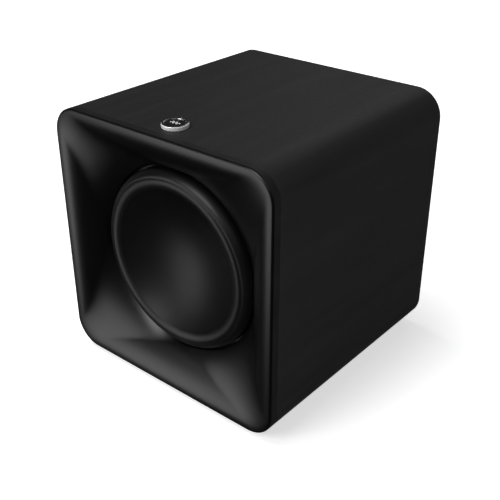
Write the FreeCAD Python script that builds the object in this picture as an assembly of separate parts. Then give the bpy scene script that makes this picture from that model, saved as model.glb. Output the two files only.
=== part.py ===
# Cube subwoofer: a wrap-round cabinet with a flared front horn, a 10 inch class driver and a rear amplifier.
# Millimetres. +Z is up, the front faces -Y, and the origin is on the floor under the middle of the box.
# A "depth" is a distance behind the front plane; "across" and "up" are measured from the driver's axis.

import FreeCAD
import Part
import math
import os
from FreeCAD import Vector

os.makedirs("parts", exist_ok=True)

# Overall sizes
cab_w = 330.0
cab_h = 330.0
cab_d = 330.0
corner_r = 35.0
wall_t = 15.0
foot_h = 6.0
cabinet_round = 1.0

# How far a cutting solid reaches past the faces that it cuts
over = 1.0

# How far two solids that are joined into one reach into each other
lap = 0.5

# Clearances between separate pieces
glue_gap = 0.2
running_gap = 0.4
shaft_gap = 0.05
plastic_gap = 0.3

# Front frame and horn
lip_depth = 11.5
rim_w = 8.5
rim_round = 3.0
mouth_tilt = 20.0
throat_tilt = 78.0
corner_ease = 1.8
horn_wall = 3.2
throat_gap = 3.0
throat_depth = 33.0
throat_wall = 3.5
tongue_t = 3.5
tongue_len = 9.5
boss_across = 128.0
boss_r = 6.0
boss_start = 6.0
boss_bore = 15.0
horn_sections = 8

# Surround roll: a crest ring with a deep outer leg and an inner flank that runs straight into the dish
crest_r = 100.0
crest_depth = 20.4
roll_half = 14.0
roll_inner_half = 9.0
outer_leg_depth = 34.0
dish_slope = 40.0
rubber_t = 2.0
land_t = 1.6
outer_land_w = 8.5
inner_land_w = 4.0
outer_land_depth = 45.4
inner_land_depth = 29.8

# Dish and cone
dish_t = 1.6
cone_t = 1.5
neck_depth = 84.0
neck_len = 6.0
neck_wall = 1.5
neck_gap = 0.1
cone_foot = 2.7
cone_bore = 1.6
cone_step = 1.0

# Driver frame, motor and suspension
gasket_t = 1.0
flange_t = 3.5
flange_rim_w = 11.5
bolt_inset = 5.7
flange_bolts = 8
frame_wall = 3.0
frame_windows = 6
frame_neck = 14.0
window_w = 62.0
window_margin = 3.5
spider_seat_gap = 1.5
seat_lip = 1.5
shelf_reach = 1.0
shelf_t = 5.5
motor_rim = 2.0
motor_seat_w = 7.0
spider_r = 78.0
spider_seat_r = 70.0
spider_neck_w = 5.1
spider_t = 0.8
spider_cup = 10.0
spider_depth = 94.0
spider_wave = 2.6
spider_waves = 5
plate_r = 60.0
plate_t = 8.0
plate_depth = 120.0
magnet_r = 68.0
magnet_hole_margin = 9.1
magnet_t = 20.0
pole_r = 24.5
pole_vent_r = 8.0
pole_proud = 2.0
coil_gap = 0.6
former_t = 0.5
winding_t = 0.85
winding_len = 24.0
top_plate_gap = 0.5
terminal_w = 24.0
terminal_t = 2.4
terminal_gap = 0.4
terminal_len = 22.0
tab_from = 18.0
tab_to = 12.0
tab_half_t = 0.4
lead_from = 16.0
lead_share = 0.43
tab_len = 7.0
tab_across = 6.0
lead_r = 0.9
wire_r = 1.4
wire_pitch = 5.0

# Wooden panels inside the cabinet
baffle_t = 18.0
brace_depth = 165.0
brace_t = 12.0
brace_bar = 28.0
brace_edge = 12.0
brace_corner = 18.0
rear_inset = 14.0
rear_t = 15.0

# Reflex port
port_r = 32.0
port_wall = 3.0
port_flare = 9.0
port_len = 123.0
port_lip = 9.0
port_amp_gap = 5.0

# Amplifier
amp_floor_gap = 12.0
amp_w = 236.0
amp_h = 171.0
amp_t = 2.5
amp_margin = 14.0
seal_t = 1.0
cover_depth = 64.0
cover_t = 2.0
cover_room = 2.0
post_r = 3.0
board_t = 1.6
control_row_drop = 31.0
control_board_drop = 10.0
power_board_drop = 30.4
knob_r = 9.0
knob_h = 8.6
knob_shaft_r = 3.0

# Amplifier plate, its seal and the openings in it: half sizes, and a corner where one is last
amp_corner_r = 6.0
amp_edge_round = 0.6
amp_screw_len = 15.0
seal_inset = 1.0
shaft_hole_gap = 0.6
lever_slot = (4.4, 2.0)
grommet_hole = (7.0, 4.5, 4.4)
grommet_flange = 1.6
grommet_reach = 1.5

# Circuit boards and what stands on them
board_corner_r = 2.0
post_hole_r = 1.5
power_board_half = (97.0, 38.0)
power_post_reach = (92.0, -32.0, 22.0)
control_board_half = (96.0, 13.0)
control_board_aside = 3.0
control_post_reach = (-84.0, 95.0)
transformer_core = (19.0, 17.0, 1.0, 24.0, 4.0)
transformer_coil = (12.0, 22.0, 5.0, 21.0, 6.0)
transformer_foot = (17.0, 20.0, 1.0, 4.5, 0.0)
can_r = 9.5
can_h = 28.0
can_across = -14.0
can_round = 1.0
score_reach = 7.0
score_half = 0.4
score_depth = 0.3
sink_half_w = 30.0
sink_half_t = 2.0
sink_h = 28.0
sink_fins = 7
fin_pitch = 9.0
fin_half_t = 1.0
fin_len = 28.0
fin_foot = 3.0
fin_root = 1.0
transistor = (5.0, 2.2, 18.0)
transistor_pitch = 20.0
transistor_gap = 0.1
module_board = (14.0, 9.0, 1.0)
module_can = (8.0, 7.0, 1.0, 2.2, 3.0)
module_across = -52.0

# Knobs and their potentiometers
knob_round = 0.9
knob_top_t = 2.0
knob_skirt = 1.2
knob_ribs = 24
rib_r = 0.7
rib_out = 0.25
knob_pointer = (0.5, 3.2, 0.5)
shaft_start = 5.5
pot_half = 8.0
pot_front = 3.0
pot_collar = 3.0

# Phase lever, pairing button and status light
lever = (2.0, 1.7, 2.2)
lever_shoe = (3.0, 2.4, 4.4, 3.0)
lever_round = 0.4
lever_line_pitch = 1.0
lever_line_half = 0.2
phase_travel = 4.0
phase_case_half = (8.0, 4.0)
button_r = 3.0
button_out = 1.6
button_round = 0.5
button_flange_r = 4.2
button_stem_r = 1.5
button_stem_end = 4.9
pair_case = (3.0, 3.4, 1.0)
led_r = 1.5
led_gap = 0.1
led_out = 0.8
led_round = 0.7
led_flange_r = 1.9
led_flange_t = 1.4

# Power switch and mains inlet
rocker_tilt = 10.0
rocker_profile = (7.6, 4.3, 3.0, 4.0, 4.0)
rocker_half_w = 5.2
rocker_pin_r = 1.2
rocker_pin_len = 1.2
rocker_body = (7.2, 10.2, 14.0)
rocker_body_corner = 0.8
rocker_hole_corner = 1.0
rocker_frame = (8.6, 11.8, 1.4, 1.6)
rocker_wall = 1.5
rocker_room = 9.0
inlet_flange = (15.5, 12.0, 2.0)
inlet_flange_t = 2.0
inlet_round = 0.5
inlet_body = (13.4, 9.7, 1.5)
inlet_room = (12.0, 8.0, 1.0)
inlet_depth = 20.0
inlet_room_depth = 17.0
socket_gap = 0.25
blade_half = (1.0, 2.0)
blade_places = (7.0, -2.0, 2.5)
blade_tail = 4.0

# Line-in jack
rca_r = 4.15
rca_len = 8.5
rca_wall = 0.8
rca_round = 0.25
jack_seat_r = 6.6
jack_seat_t = 1.5
jack_seat_round = 0.4
jack_barrel_r = 4.4
jack_barrel_len = 8.0
jack_nut_r = 6.2
jack_nut_t = 2.6
core_inset = 2.5
contact_r = 2.05
contact_wall = 0.45
contact_tail = 5.8

# Screws: shank radius, head radius, head height
wood_screw = (2.0, 3.9, 2.6)
foot_screw = (1.9, 5.0, 2.3)
pilot_gap = 0.05
clear_gap = 0.4
panel_gap = 0.5
pilot_floor = 0.4
driver_screw_len = 20.0
bezel_screw_bite = 13.0
foot_screw_slot = (6.0, 0.9, 1.0)

# Feet and badge
foot_r = 16.0
foot_taper = 2.0
foot_across = 115.0
foot_recess = 3.5
foot_hole_len = 11.0
badge_r = 15.5
badge_h = 5.0
badge_wall = 2.9
badge_depth = 35.6
badge_floor = 1.6
badge_round = 0.8
insert_drop = 0.4
insert_gap = 0.1
insert_round = 0.6
stem_r = 3.0
stem_len = 9.0

# Worked-out places
driver_z = foot_h + cab_h / 2
half_w = cab_w / 2
half_h = cab_h / 2
inner_half_w = half_w - wall_t
inner_half_h = half_h - wall_t
inner_corner_r = corner_r - wall_t
roll_outer_r = crest_r + roll_half
roll_inner_r = crest_r - roll_inner_half
dish_r = roll_inner_r - running_gap
dish_bowl_r = roll_inner_r - inner_land_w
land_r = roll_outer_r + outer_land_w
throat_r = roll_outer_r + throat_gap
flange_r = land_r + flange_rim_w
flange_bolt_r = land_r + bolt_inset
throat_back = outer_land_depth - gasket_t
flange_depth = outer_land_depth + land_t
baffle_depth = flange_depth + flange_t + gasket_t
baffle_back = baffle_depth + baffle_t
cone_depth = inner_land_depth + land_t
flank_ball = roll_inner_half / math.sin(math.radians(dish_slope))
flank_depth = crest_depth + roll_inner_half * math.tan(math.radians(dish_slope / 2))
dish_ball = roll_inner_r / math.sin(math.radians(dish_slope))
dish_centre = flank_depth + roll_inner_r * math.tan(math.radians(dish_slope / 2))
former_r = pole_r + coil_gap
winding_r = former_r + former_t + 0.05
frame_r = land_r - outer_land_w + 1.5
plate_hole_r = winding_r + winding_t + top_plate_gap
magnet_hole_r = plate_hole_r + magnet_hole_margin
spider_hole_r = former_r + former_t + plastic_gap
spider_neck_r = spider_hole_r + spider_neck_w
back_plate_depth = plate_depth + plate_t + magnet_t
seat_depth = spider_depth + spider_cup
frame_wall_r = frame_r + frame_wall - 1.0
frame_wall_depth = flange_depth + flange_t + frame_neck
frame_base_r = spider_r + 1.5 + frame_wall - 0.5
frame_base_depth = seat_depth + 0.5
window_end = seat_depth - window_margin - 2.5
rear_face = cab_d - rear_inset
rear_front = rear_face - rear_t
amp_up = amp_floor_gap + amp_h / 2 - inner_half_h
port_up = amp_up + amp_h / 2 + port_amp_gap + port_r + port_flare + port_lip
amp_in = rear_face + seal_t
amp_out = amp_in + amp_t
cover_half_w = amp_w / 2 - amp_margin - cover_room
cover_half_h = amp_h / 2 - amp_margin - cover_room + lap
cutout_half_w = cover_half_w + cover_room
cutout_half_h = cover_half_h + cover_room
control_board_back = amp_in - control_board_drop
power_board_back = amp_in - power_board_drop
cover_front = amp_in - cover_depth
control_up = amp_up + amp_h / 2 - control_row_drop
power_up = amp_up - 30.0

rocker_pivot = amp_out - 0.5
can_rows = (power_up + 8.5, power_up - 15.5)
transformer_at = (-55.0, power_up - 5.5)
heat_sink_at = (42.0, power_up + 16.5)

# Places of the rear controls: across, up
gain_at = (78.0, control_up)
crossover_at = (38.0, control_up)
phase_at = (0.0, control_up)
pair_at = (-38.0, control_up)
led_at = (-62.0, control_up)
jack_at = (60.0, amp_up + 2.5)
inlet_at = (-62.0, amp_up - 50.5)
rocker_at = (-18.0, amp_up - 50.5)
wire_at = (85.0, power_up + 12.5)


# ---- building blocks ----

def place(across, up, depth):
    return Vector(across, depth - cab_d / 2, driver_z + up)


def rounded_wire(half_x, half_z, radius, depth, across=0.0, up=0.0):
    """Rounded rectangle facing along Y, always starting at the foot of its right side."""
    sx = half_x - radius
    sz = half_z - radius
    k = radius * math.sqrt(0.5)
    edges = []
    for turn in range(4):
        quarter = (((1, -1), (1, 1)), ((1, 1), (-1, 1)), ((-1, 1), (-1, -1)), ((-1, -1), (1, -1)))[turn]
        (ax, az), (bx, bz) = quarter
        side = turn % 2 == 0
        start = (ax * half_x, az * sz) if side else (ax * sx, az * half_z)
        end = (bx * half_x, bz * sz) if side else (bx * sx, bz * half_z)
        after = (bx * sx, bz * half_z) if side else (bx * half_x, bz * sz)
        bend = (bx * (sx + k), bz * (sz + k))
        points = [place(across + x, up + z, depth) for x, z in (start, end, bend, after)]
        edges.append(Part.LineSegment(points[0], points[1]).toShape())
        edges.append(Part.Arc(points[1], points[2], points[3]).toShape())
    return Part.Wire(edges)


def slab(half_x, half_z, radius, depth_from, depth_to, across=0.0, up=0.0):
    face = Part.Face(rounded_wire(half_x, half_z, radius, depth_from, across, up))
    return face.extrude(Vector(0, depth_to - depth_from, 0))


def block(half_x, half_z, depth_from, depth_to, across=0.0, up=0.0):
    corner = place(across - half_x, up - half_z, depth_from)
    return Part.makeBox(2 * half_x, depth_to - depth_from, 2 * half_z, corner)


def disc(radius, depth_from, depth_to, across=0.0, up=0.0):
    return Part.makeCylinder(radius, depth_to - depth_from, place(across, up, depth_from), Vector(0, 1, 0))


def ring(outer_r, inner_r, depth_from, depth_to, across=0.0, up=0.0):
    hole = disc(inner_r, depth_from - over, depth_to + over, across, up)
    return disc(outer_r, depth_from, depth_to, across, up).cut(hole)


def line(a, b, up=0.0):
    return Part.LineSegment(place(a[0], up, a[1]), place(b[0], up, b[1])).toShape()


def quarter_roll(centre, wide_end, deep_end, up=0.0):
    """Quarter ellipse from its widest point to its deepest one."""
    curve = Part.Ellipse(*[place(p[0], up, p[1]) for p in (wide_end, deep_end, centre)])
    return Part.ArcOfEllipse(curve, 0, math.pi / 2).toShape()


def quarter_arc(a, b, centre, up=0.0):
    """Quarter circle from a to b about centre."""
    radius = math.hypot(a[0] - centre[0], a[1] - centre[1])
    mid = (a[0] + b[0] - 2 * centre[0], a[1] + b[1] - 2 * centre[1])
    scale = radius / math.hypot(*mid)
    bend = (centre[0] + mid[0] * scale, centre[1] + mid[1] * scale)
    return Part.Arc(*[place(p[0], up, p[1]) for p in (a, bend, b)]).toShape()


def lines(points, up=0.0):
    return [line(a, b, up) for a, b in zip(points, points[1:])]


def turned(edges, up=0.0):
    """Solid of revolution about the axis along Y at this height, from (radius, depth) edges."""
    wire = Part.Wire(Part.__sortEdges__(edges))
    return Part.Face(wire).revolve(place(0, up, 0), Vector(0, 1, 0), 360)


def polygon_turned(points, up=0.0):
    return turned(lines(points + points[:1], up), up)


def joined(shapes):
    result = shapes[0]
    for shape in shapes[1:]:
        result = result.fuse(shape)
    return result.removeSplitter()


def without(shape, tools):
    for tool in tools:
        shape = shape.cut(tool)
    return shape


def round_front(shape, radius, depth):
    """Rounds every edge that lies in the plane at this depth."""
    y = depth - cab_d / 2
    edges = []
    for edge in shape.Edges:
        box = edge.BoundBox
        if abs(box.YMin - y) < 1e-4 and abs(box.YMax - y) < 1e-4:
            edges.append(edge)
    return shape.makeFillet(radius, edges)


def around(count, radius, start_deg=0.0):
    """Places on a circle about the driver's axis."""
    spots = []
    for i in range(count):
        angle = math.radians(start_deg + 360.0 * i / count)
        spots.append((radius * math.cos(angle), radius * math.sin(angle)))
    return spots


def corners(across, up):
    return [(sx * across, sz * up) for sx in (-1, 1) for sz in (-1, 1)]


def screw(kind, head_depth, length, across, up, faces_back):
    """Pan head whose seat is at head_depth; it faces the rear or the front."""
    shank_r, head_r, head_h = kind
    if faces_back:
        head = round_front(disc(head_r, head_depth, head_depth + head_h, across, up),
                           head_h * 0.4, head_depth + head_h)
        shank = disc(shank_r, head_depth - length, head_depth + 0.5, across, up)
        slot = block(head_r * 0.6, 0.4, head_depth + head_h * 0.5, head_depth + head_h + 1, across, up)
    else:
        head = round_front(disc(head_r, head_depth - head_h, head_depth, across, up),
                           head_h * 0.4, head_depth - head_h)
        shank = disc(shank_r, head_depth - 0.5, head_depth + length, across, up)
        slot = block(head_r * 0.6, 0.4, head_depth - head_h - 1, head_depth - head_h * 0.5, across, up)
    return joined([head, shank]).cut(slot)


def tube_along(points, radius):
    """Round lead along straight runs joined by tangent arcs, each 0.45 of its shorter run."""
    edges = []
    at = points[0]
    for before, corner, after in zip(points, points[1:], points[2:]):
        into = (corner - before).normalize()
        out = (after - corner).normalize()
        cut = 0.45 * min((corner - before).Length, (after - corner).Length)
        turn = into.getAngle(out)
        bend_r = cut / math.tan(turn / 2)
        start = corner - into * cut
        end = corner + out * cut
        inward = (out - into).normalize()
        mid = corner + inward * (bend_r / math.cos(turn / 2) - bend_r)
        edges.append(Part.LineSegment(at, start).toShape())
        edges.append(Part.Arc(start, mid, end).toShape())
        at = end
    edges.append(Part.LineSegment(at, points[-1]).toShape())
    path = Part.Wire(edges)
    section = Part.Wire(Part.makeCircle(radius, points[0], points[1] - points[0]))
    return path.makePipeShell([section], True, False)


# ---- cabinet ----

def cabinet_shell():
    outer = slab(half_w, half_h, corner_r, lip_depth, cab_d)
    outer = round_front(outer, cabinet_round, cab_d)
    inner = slab(inner_half_w, inner_half_h, inner_corner_r, lip_depth - over, cab_d + over)
    shell = outer.cut(inner)
    for across, deep in corners(foot_across, foot_across):
        hole = Part.makeCylinder(foot_screw[0] + pilot_gap, foot_hole_len, Vector(across, deep, foot_h))
        shell = shell.cut(hole)
    socket = Vector(0, badge_depth - cab_d / 2, foot_h + cab_h - stem_len - lap)
    return shell.cut(Part.makeCylinder(stem_r + shaft_gap, stem_len + over, socket))


def inside_panel(depth_from, depth_to):
    return slab(inner_half_w - glue_gap, inner_half_h - glue_gap, inner_corner_r - glue_gap,
                depth_from, depth_to)


def front_baffle():
    panel = inside_panel(baffle_depth, baffle_back)
    low, high = baffle_depth - over, baffle_back + over
    cuts = [disc(throat_r + panel_gap, low, high)]
    for across, up in around(flange_bolts, flange_bolt_r, 22.5):
        cuts.append(disc(wood_screw[0] + pilot_gap, low, baffle_back - pilot_floor, across, up))
    for across, up in corners(boss_across, boss_across):
        cuts.append(disc(wood_screw[0] + clear_gap, low, high, across, up))
    return without(panel, cuts)


def cabinet_brace():
    panel = inside_panel(brace_depth, brace_depth + brace_t)
    side_x = (inner_half_w - glue_gap - brace_bar / 2 - brace_edge) / 2
    side_z = (inner_half_h - glue_gap - brace_bar / 2 - brace_edge) / 2
    cuts = []
    for sx, sz in corners(1, 1):
        cuts.append(slab(side_x, side_z, brace_corner, brace_depth - over, brace_depth + brace_t + over,
                         sx * (brace_bar / 2 + side_x), sz * (brace_bar / 2 + side_z)))
    return without(panel, cuts)


def amp_screw_spots():
    across = amp_w / 2 - amp_margin / 2
    up = amp_h / 2 - amp_margin / 2
    spots = [(x, amp_up + z) for x, z in corners(across, up)]
    spots += [(0.0, amp_up - up), (0.0, amp_up + up), (-across, amp_up), (across, amp_up)]
    return spots


def rear_board():
    panel = inside_panel(rear_front, rear_face)
    low, high = rear_front - over, rear_face + over
    cuts = [disc(port_r + port_flare + panel_gap, low, high, 0, port_up)]
    cuts.append(slab(cutout_half_w, cutout_half_h, amp_corner_r, low, high, 0, amp_up))
    for across, up in amp_screw_spots():
        cuts.append(disc(wood_screw[0] + pilot_gap, rear_front + pilot_floor, high, across, up))
    return without(panel, cuts)


def port_tube():
    mouth_r = port_r + port_flare
    outer_r = port_r + port_wall
    tip = port_flare - port_wall
    out = rear_face + port_wall
    inner_end = out - port_len
    edges = [
        quarter_arc((mouth_r, out), (port_r, out - port_flare), (mouth_r, out - port_flare), port_up),
        line((port_r, out - port_flare), (port_r, inner_end + port_flare), port_up),
        quarter_arc((port_r, inner_end + port_flare), (mouth_r, inner_end),
                    (mouth_r, inner_end + port_flare), port_up),
        line((mouth_r, inner_end), (mouth_r, inner_end + port_wall), port_up),
        quarter_arc((mouth_r, inner_end + port_wall), (outer_r, inner_end + port_flare),
                    (mouth_r, inner_end + port_flare), port_up),
        line((outer_r, inner_end + port_flare), (outer_r, rear_face - tip), port_up),
        quarter_arc((outer_r, rear_face - tip), (mouth_r, rear_face), (mouth_r, rear_face - tip), port_up),
    ]
    edges += lines([(mouth_r, rear_face), (mouth_r + port_lip, rear_face), (mouth_r + port_lip, out),
                    (mouth_r, out)], port_up)
    return turned(edges, port_up)


def rubber_foot(across, deep):
    pad = Part.makeCone(foot_r - foot_taper, foot_r, foot_h, Vector(across, deep, 0))
    recess = Part.makeCylinder(foot_screw[1] + clear_gap, foot_recess, Vector(across, deep, 0))
    hole = Part.makeCylinder(foot_screw[0] + clear_gap, foot_h + over, Vector(across, deep, 0))
    return pad.cut(recess).cut(hole)


def foot_fixing(across, deep):
    shank_r, head_r, head_h = foot_screw
    head = Part.makeCylinder(head_r, head_h, Vector(across, deep, foot_recess - head_h))
    shank_len = foot_h + foot_hole_len - foot_recess - lap
    shank = Part.makeCylinder(shank_r, shank_len, Vector(across, deep, foot_recess))
    long, wide, high = foot_screw_slot
    slot = Part.makeBox(long, wide, high, Vector(across - long / 2, deep - wide / 2, foot_recess - head_h))
    return head.fuse(shank).cut(slot)


def badge_ring():
    base = Vector(0, badge_depth - cab_d / 2, foot_h + cab_h)
    body = Part.makeCylinder(badge_r, badge_h, base)
    rims = [e for e in body.Edges if e.BoundBox.ZMin > base.z + badge_h - 0.01]
    body = body.makeFillet(badge_round, rims)
    well = Part.makeCylinder(badge_r - badge_wall, badge_h, base + Vector(0, 0, badge_floor))
    stem = Part.makeCylinder(stem_r, stem_len + over, base - Vector(0, 0, stem_len))
    return body.cut(well).fuse(stem)


def badge_insert():
    base = Vector(0, badge_depth - cab_d / 2, foot_h + cab_h + badge_floor)
    thick = badge_h - badge_floor - insert_drop
    insert = Part.makeCylinder(badge_r - badge_wall - insert_gap, thick, base)
    rims = [e for e in insert.Edges if e.BoundBox.ZMin > base.z + thick - 0.01]
    return insert.makeFillet(insert_round, rims)


# ---- front frame with the horn ----

def horn_point(share):
    """Half width, depth and tilt of the horn wall, from the mouth (0) to the throat (1)."""
    mouth_half = half_w - rim_w
    first = math.radians(mouth_tilt)
    last = math.radians(throat_tilt)
    tilt = first + (last - first) * share
    inward = (math.sin(tilt) - math.sin(first)) / (math.sin(last) - math.sin(first))
    back = (math.cos(first) - math.cos(tilt)) / (math.cos(first) - math.cos(last))
    half = mouth_half - (mouth_half - throat_r) * inward
    mouth_corner = corner_r - rim_w
    corner = mouth_corner + (throat_r - 0.5 - mouth_corner) * inward ** corner_ease
    run = (mouth_half - throat_r) * math.cos(tilt) / (math.sin(last) - math.sin(first))
    fall = throat_depth * math.sin(tilt) / (math.cos(first) - math.cos(last))
    return half, corner, throat_depth * back, math.atan2(fall, run)


def horn_loft(wall):
    """Solid that fills the horn, or the outside of its wall when wall is its thickness."""
    wires = []
    for i in range(horn_sections + 1):
        share = i / horn_sections
        half, corner, depth, tilt = horn_point(share)
        spread = wall * math.sin(tilt)
        lift = half_h - half_w
        wires.append(rounded_wire(half + spread, half + spread + lift * (1 - share), corner + spread,
                                  depth + wall * math.cos(tilt)))
    return Part.makeLoft(wires, True, False)


def horn_bezel():
    plate = slab(half_w, half_h, corner_r, 0, lip_depth)
    plate = round_front(plate, rim_round, 0)
    pocket = slab(half_w - horn_wall, half_h - horn_wall, corner_r - horn_wall, horn_wall, lip_depth + over)
    tongue_x = inner_half_w - plastic_gap
    tongue_z = inner_half_h - plastic_gap
    tongue_r = inner_corner_r - plastic_gap
    tongue = slab(tongue_x, tongue_z, tongue_r, horn_wall / 2, lip_depth + tongue_len)
    tongue = tongue.cut(slab(tongue_x - tongue_t, tongue_z - tongue_t, tongue_r - tongue_t,
                             horn_wall, lip_depth + tongue_len + over))
    solid = [plate.cut(pocket), tongue, horn_loft(horn_wall)]
    solid.append(disc(throat_r + throat_wall, throat_depth - over, throat_back))
    for across, up in corners(boss_across, boss_across):
        solid.append(disc(boss_r, boss_start, baffle_depth, across, up))
    cuts = [horn_loft(0.0), disc(throat_r, throat_depth - lap, throat_back + over)]
    for across, up in corners(boss_across, boss_across):
        cuts.append(disc(wood_screw[0] + pilot_gap, baffle_depth - boss_bore, baffle_depth + over, across, up))
    return without(joined(solid), cuts)


# ---- driver ----

def bowl_depth(r, drop=0.0):
    """Depth of the dish's ball-shaped front at a radius, or of the same curve further back."""
    return dish_centre + drop - dish_ball + math.sqrt(dish_ball ** 2 - r ** 2)


def bowl_arc(r, drop=0.0):
    spots = [(r, bowl_depth(r, drop)), (0.6 * r, bowl_depth(0.6 * r, drop)), (0, dish_centre + drop)]
    return Part.Arc(*[place(a, 0, d) for a, d in spots]).toShape()


def flank_arc(drop=0.0):
    """Inner flank of the roll, a circle that leaves the crest level and meets the dish at its slope."""
    inner_r = roll_inner_r + drop
    spots = []
    for share in (1.0, 0.5, 0.0):
        r = crest_r + (inner_r - crest_r) * share
        spots.append(place(r, 0, crest_depth + drop + flank_ball
                           - math.sqrt(flank_ball ** 2 - (crest_r - r) ** 2)))
    return Part.Arc(*spots).toShape()


def surround():
    outer_centre = (crest_r, outer_leg_depth)
    inside = roll_half - rubber_t
    under = crest_depth + rubber_t
    back_r = roll_inner_r + rubber_t
    turn_depth = under + flank_ball - math.sqrt(flank_ball ** 2 - (crest_r - back_r) ** 2)
    edges = lines([(land_r, flange_depth), (land_r, outer_land_depth), (roll_outer_r, outer_land_depth),
                   (roll_outer_r, outer_leg_depth)])
    edges.append(quarter_roll(outer_centre, (roll_outer_r, outer_leg_depth), (crest_r, crest_depth)))
    edges.append(flank_arc())
    edges += lines([(roll_inner_r, flank_depth), (roll_inner_r, inner_land_depth),
                    (dish_bowl_r, inner_land_depth), (dish_bowl_r, cone_depth), (back_r, cone_depth),
                    (back_r, turn_depth)])
    edges.append(flank_arc(rubber_t))
    edges.append(quarter_roll(outer_centre, (crest_r + inside, outer_leg_depth), (crest_r, under)))
    edges += lines([(crest_r + inside, outer_leg_depth), (crest_r + inside, flange_depth),
                    (land_r, flange_depth)])
    return turned(edges)


def dish():
    """Shallow ball-shaped bowl whose edge is thickened to a flat seat on the surround."""
    reach = dish_ball - (dish_centre + dish_t - inner_land_depth)
    seat_r = math.sqrt(dish_ball ** 2 - reach ** 2)
    edges = [bowl_arc(dish_r), bowl_arc(seat_r, dish_t)]
    edges += lines([(dish_r, bowl_depth(dish_r)), (dish_r, inner_land_depth), (seat_r, inner_land_depth)])
    edges.append(line((0, dish_centre), (0, dish_centre + dish_t)))
    return turned(edges)


def cone_body():
    inner_r = former_r + former_t + neck_gap
    outer_r = inner_r + neck_wall
    return polygon_turned([
        (roll_inner_r, cone_depth), (roll_inner_r, cone_depth + cone_t),
        (dish_bowl_r + cone_step, cone_depth + cone_t), (outer_r, neck_depth + cone_foot),
        (outer_r, neck_depth + neck_len), (inner_r, neck_depth + neck_len),
        (inner_r, neck_depth + cone_bore), (dish_bowl_r, cone_depth)])


def coil_middle():
    return plate_depth + plate_t / 2


def voice_coil_former():
    return ring(former_r + former_t, former_r, neck_depth, coil_middle() + winding_len / 2 + over)


def voice_coil_winding():
    middle = coil_middle()
    return ring(winding_r + winding_t, winding_r, middle - winding_len / 2, middle + winding_len / 2)


def spider():
    """Cup-shaped corrugated disc: flat at the neck and at its seat, waves in between."""
    inner_r = spider_hole_r
    seat = seat_depth - spider_t
    neck = spider_depth - spider_t
    count = 12 * spider_waves
    top = []
    for i in range(count + 1):
        share = i / count
        wave = spider_wave * math.sin(2 * math.pi * spider_waves * share) * math.sin(math.pi * share)
        radius = spider_neck_r + (spider_seat_r - spider_neck_r) * share
        top.append((radius, neck + (seat - neck) * share + wave))
    curves = []
    for drop in (0.0, spider_t):
        curve = Part.BSplineCurve()
        curve.interpolate([place(r, 0, d + drop) for r, d in top])
        curves.append(curve.toShape())
    edges = curves
    edges += lines([(spider_neck_r, neck), (inner_r, neck), (inner_r, neck + spider_t),
                    (spider_neck_r, neck + spider_t)])
    edges += lines([(spider_seat_r, seat), (spider_r, seat), (spider_r, seat + spider_t),
                    (spider_seat_r, seat + spider_t)])
    return turned(edges)


def basket():
    seat_r = spider_r + spider_seat_gap
    flange_back = flange_depth + flange_t
    foot = plate_depth
    motor_seat_r = plate_hole_r + motor_seat_w
    shelf_r = spider_seat_r - shelf_reach
    inside_r = frame_r - 0.5
    shape = polygon_turned([
        (flange_r, flange_depth), (flange_r, flange_back), (frame_wall_r, flange_back),
        (frame_wall_r, frame_wall_depth), (frame_base_r, frame_base_depth),
        (frame_base_r, seat_depth + frame_wall + 0.5), (plate_r + motor_rim, foot), (motor_seat_r, foot),
        (motor_seat_r, foot - flange_t), (plate_r + 0.5, foot - flange_t),
        (shelf_r, seat_depth + shelf_t), (shelf_r, seat_depth), (seat_r, seat_depth),
        (seat_r, seat_depth - seat_lip), (inside_r, flange_back + frame_neck - over),
        (inside_r, flange_depth)])
    cuts = []
    window_from = flange_back + frame_neck + window_margin
    for i in range(frame_windows):
        corner = Vector(spider_seat_r, window_from - cab_d / 2, driver_z - window_w / 2)
        hole = Part.makeBox(flange_r - spider_seat_r, window_end - window_from, window_w, corner)
        hole.rotate(place(0, 0, 0), Vector(0, 1, 0), 360.0 * i / frame_windows)
        cuts.append(hole)
    for across, up in around(flange_bolts, flange_bolt_r, 22.5):
        cuts.append(disc(wood_screw[0] + clear_gap, flange_depth - over, flange_back + over, across, up))
    return without(shape, cuts)


def flange_gasket():
    shape = ring(flange_r, throat_r + panel_gap, flange_depth + flange_t, baffle_depth)
    cuts = []
    for across, up in around(flange_bolts, flange_bolt_r, 22.5):
        cuts.append(disc(wood_screw[0] + clear_gap, flange_depth, baffle_depth + over, across, up))
    return without(shape, cuts)


def throat_gasket():
    return ring(throat_r + throat_wall, throat_r + panel_gap, throat_back, outer_land_depth)


def top_plate():
    return ring(plate_r, plate_hole_r, plate_depth, plate_depth + plate_t)


def magnet():
    return ring(magnet_r, magnet_hole_r, plate_depth + plate_t, back_plate_depth)


def yoke():
    pole = disc(pole_r, plate_depth - pole_proud, back_plate_depth + over)
    body = joined([disc(plate_r, back_plate_depth, back_plate_depth + plate_t), pole])
    return body.cut(disc(pole_vent_r, plate_depth - pole_proud - over, back_plate_depth + plate_t + over))


def terminal_face():
    """Radius of the terminal strip's inner face, just off the frame's sloped wall below its window."""
    share = (frame_base_depth - window_end) / (frame_base_depth - frame_wall_depth)
    return frame_base_r + (frame_wall_r - frame_base_r) * share + terminal_gap


def terminal_strip():
    middle = terminal_face() + terminal_t / 2
    return block(terminal_t / 2, terminal_w / 2, seat_depth - terminal_len, seat_depth, middle, 0)


def terminal_tabs():
    middle = terminal_face() + terminal_t + tab_len / 2
    low, high = seat_depth - tab_from, seat_depth - tab_to
    tabs = [block(tab_len / 2, tab_half_t, low, high, middle, s * tab_across) for s in (-1, 1)]
    return Part.Compound(tabs)


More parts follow.
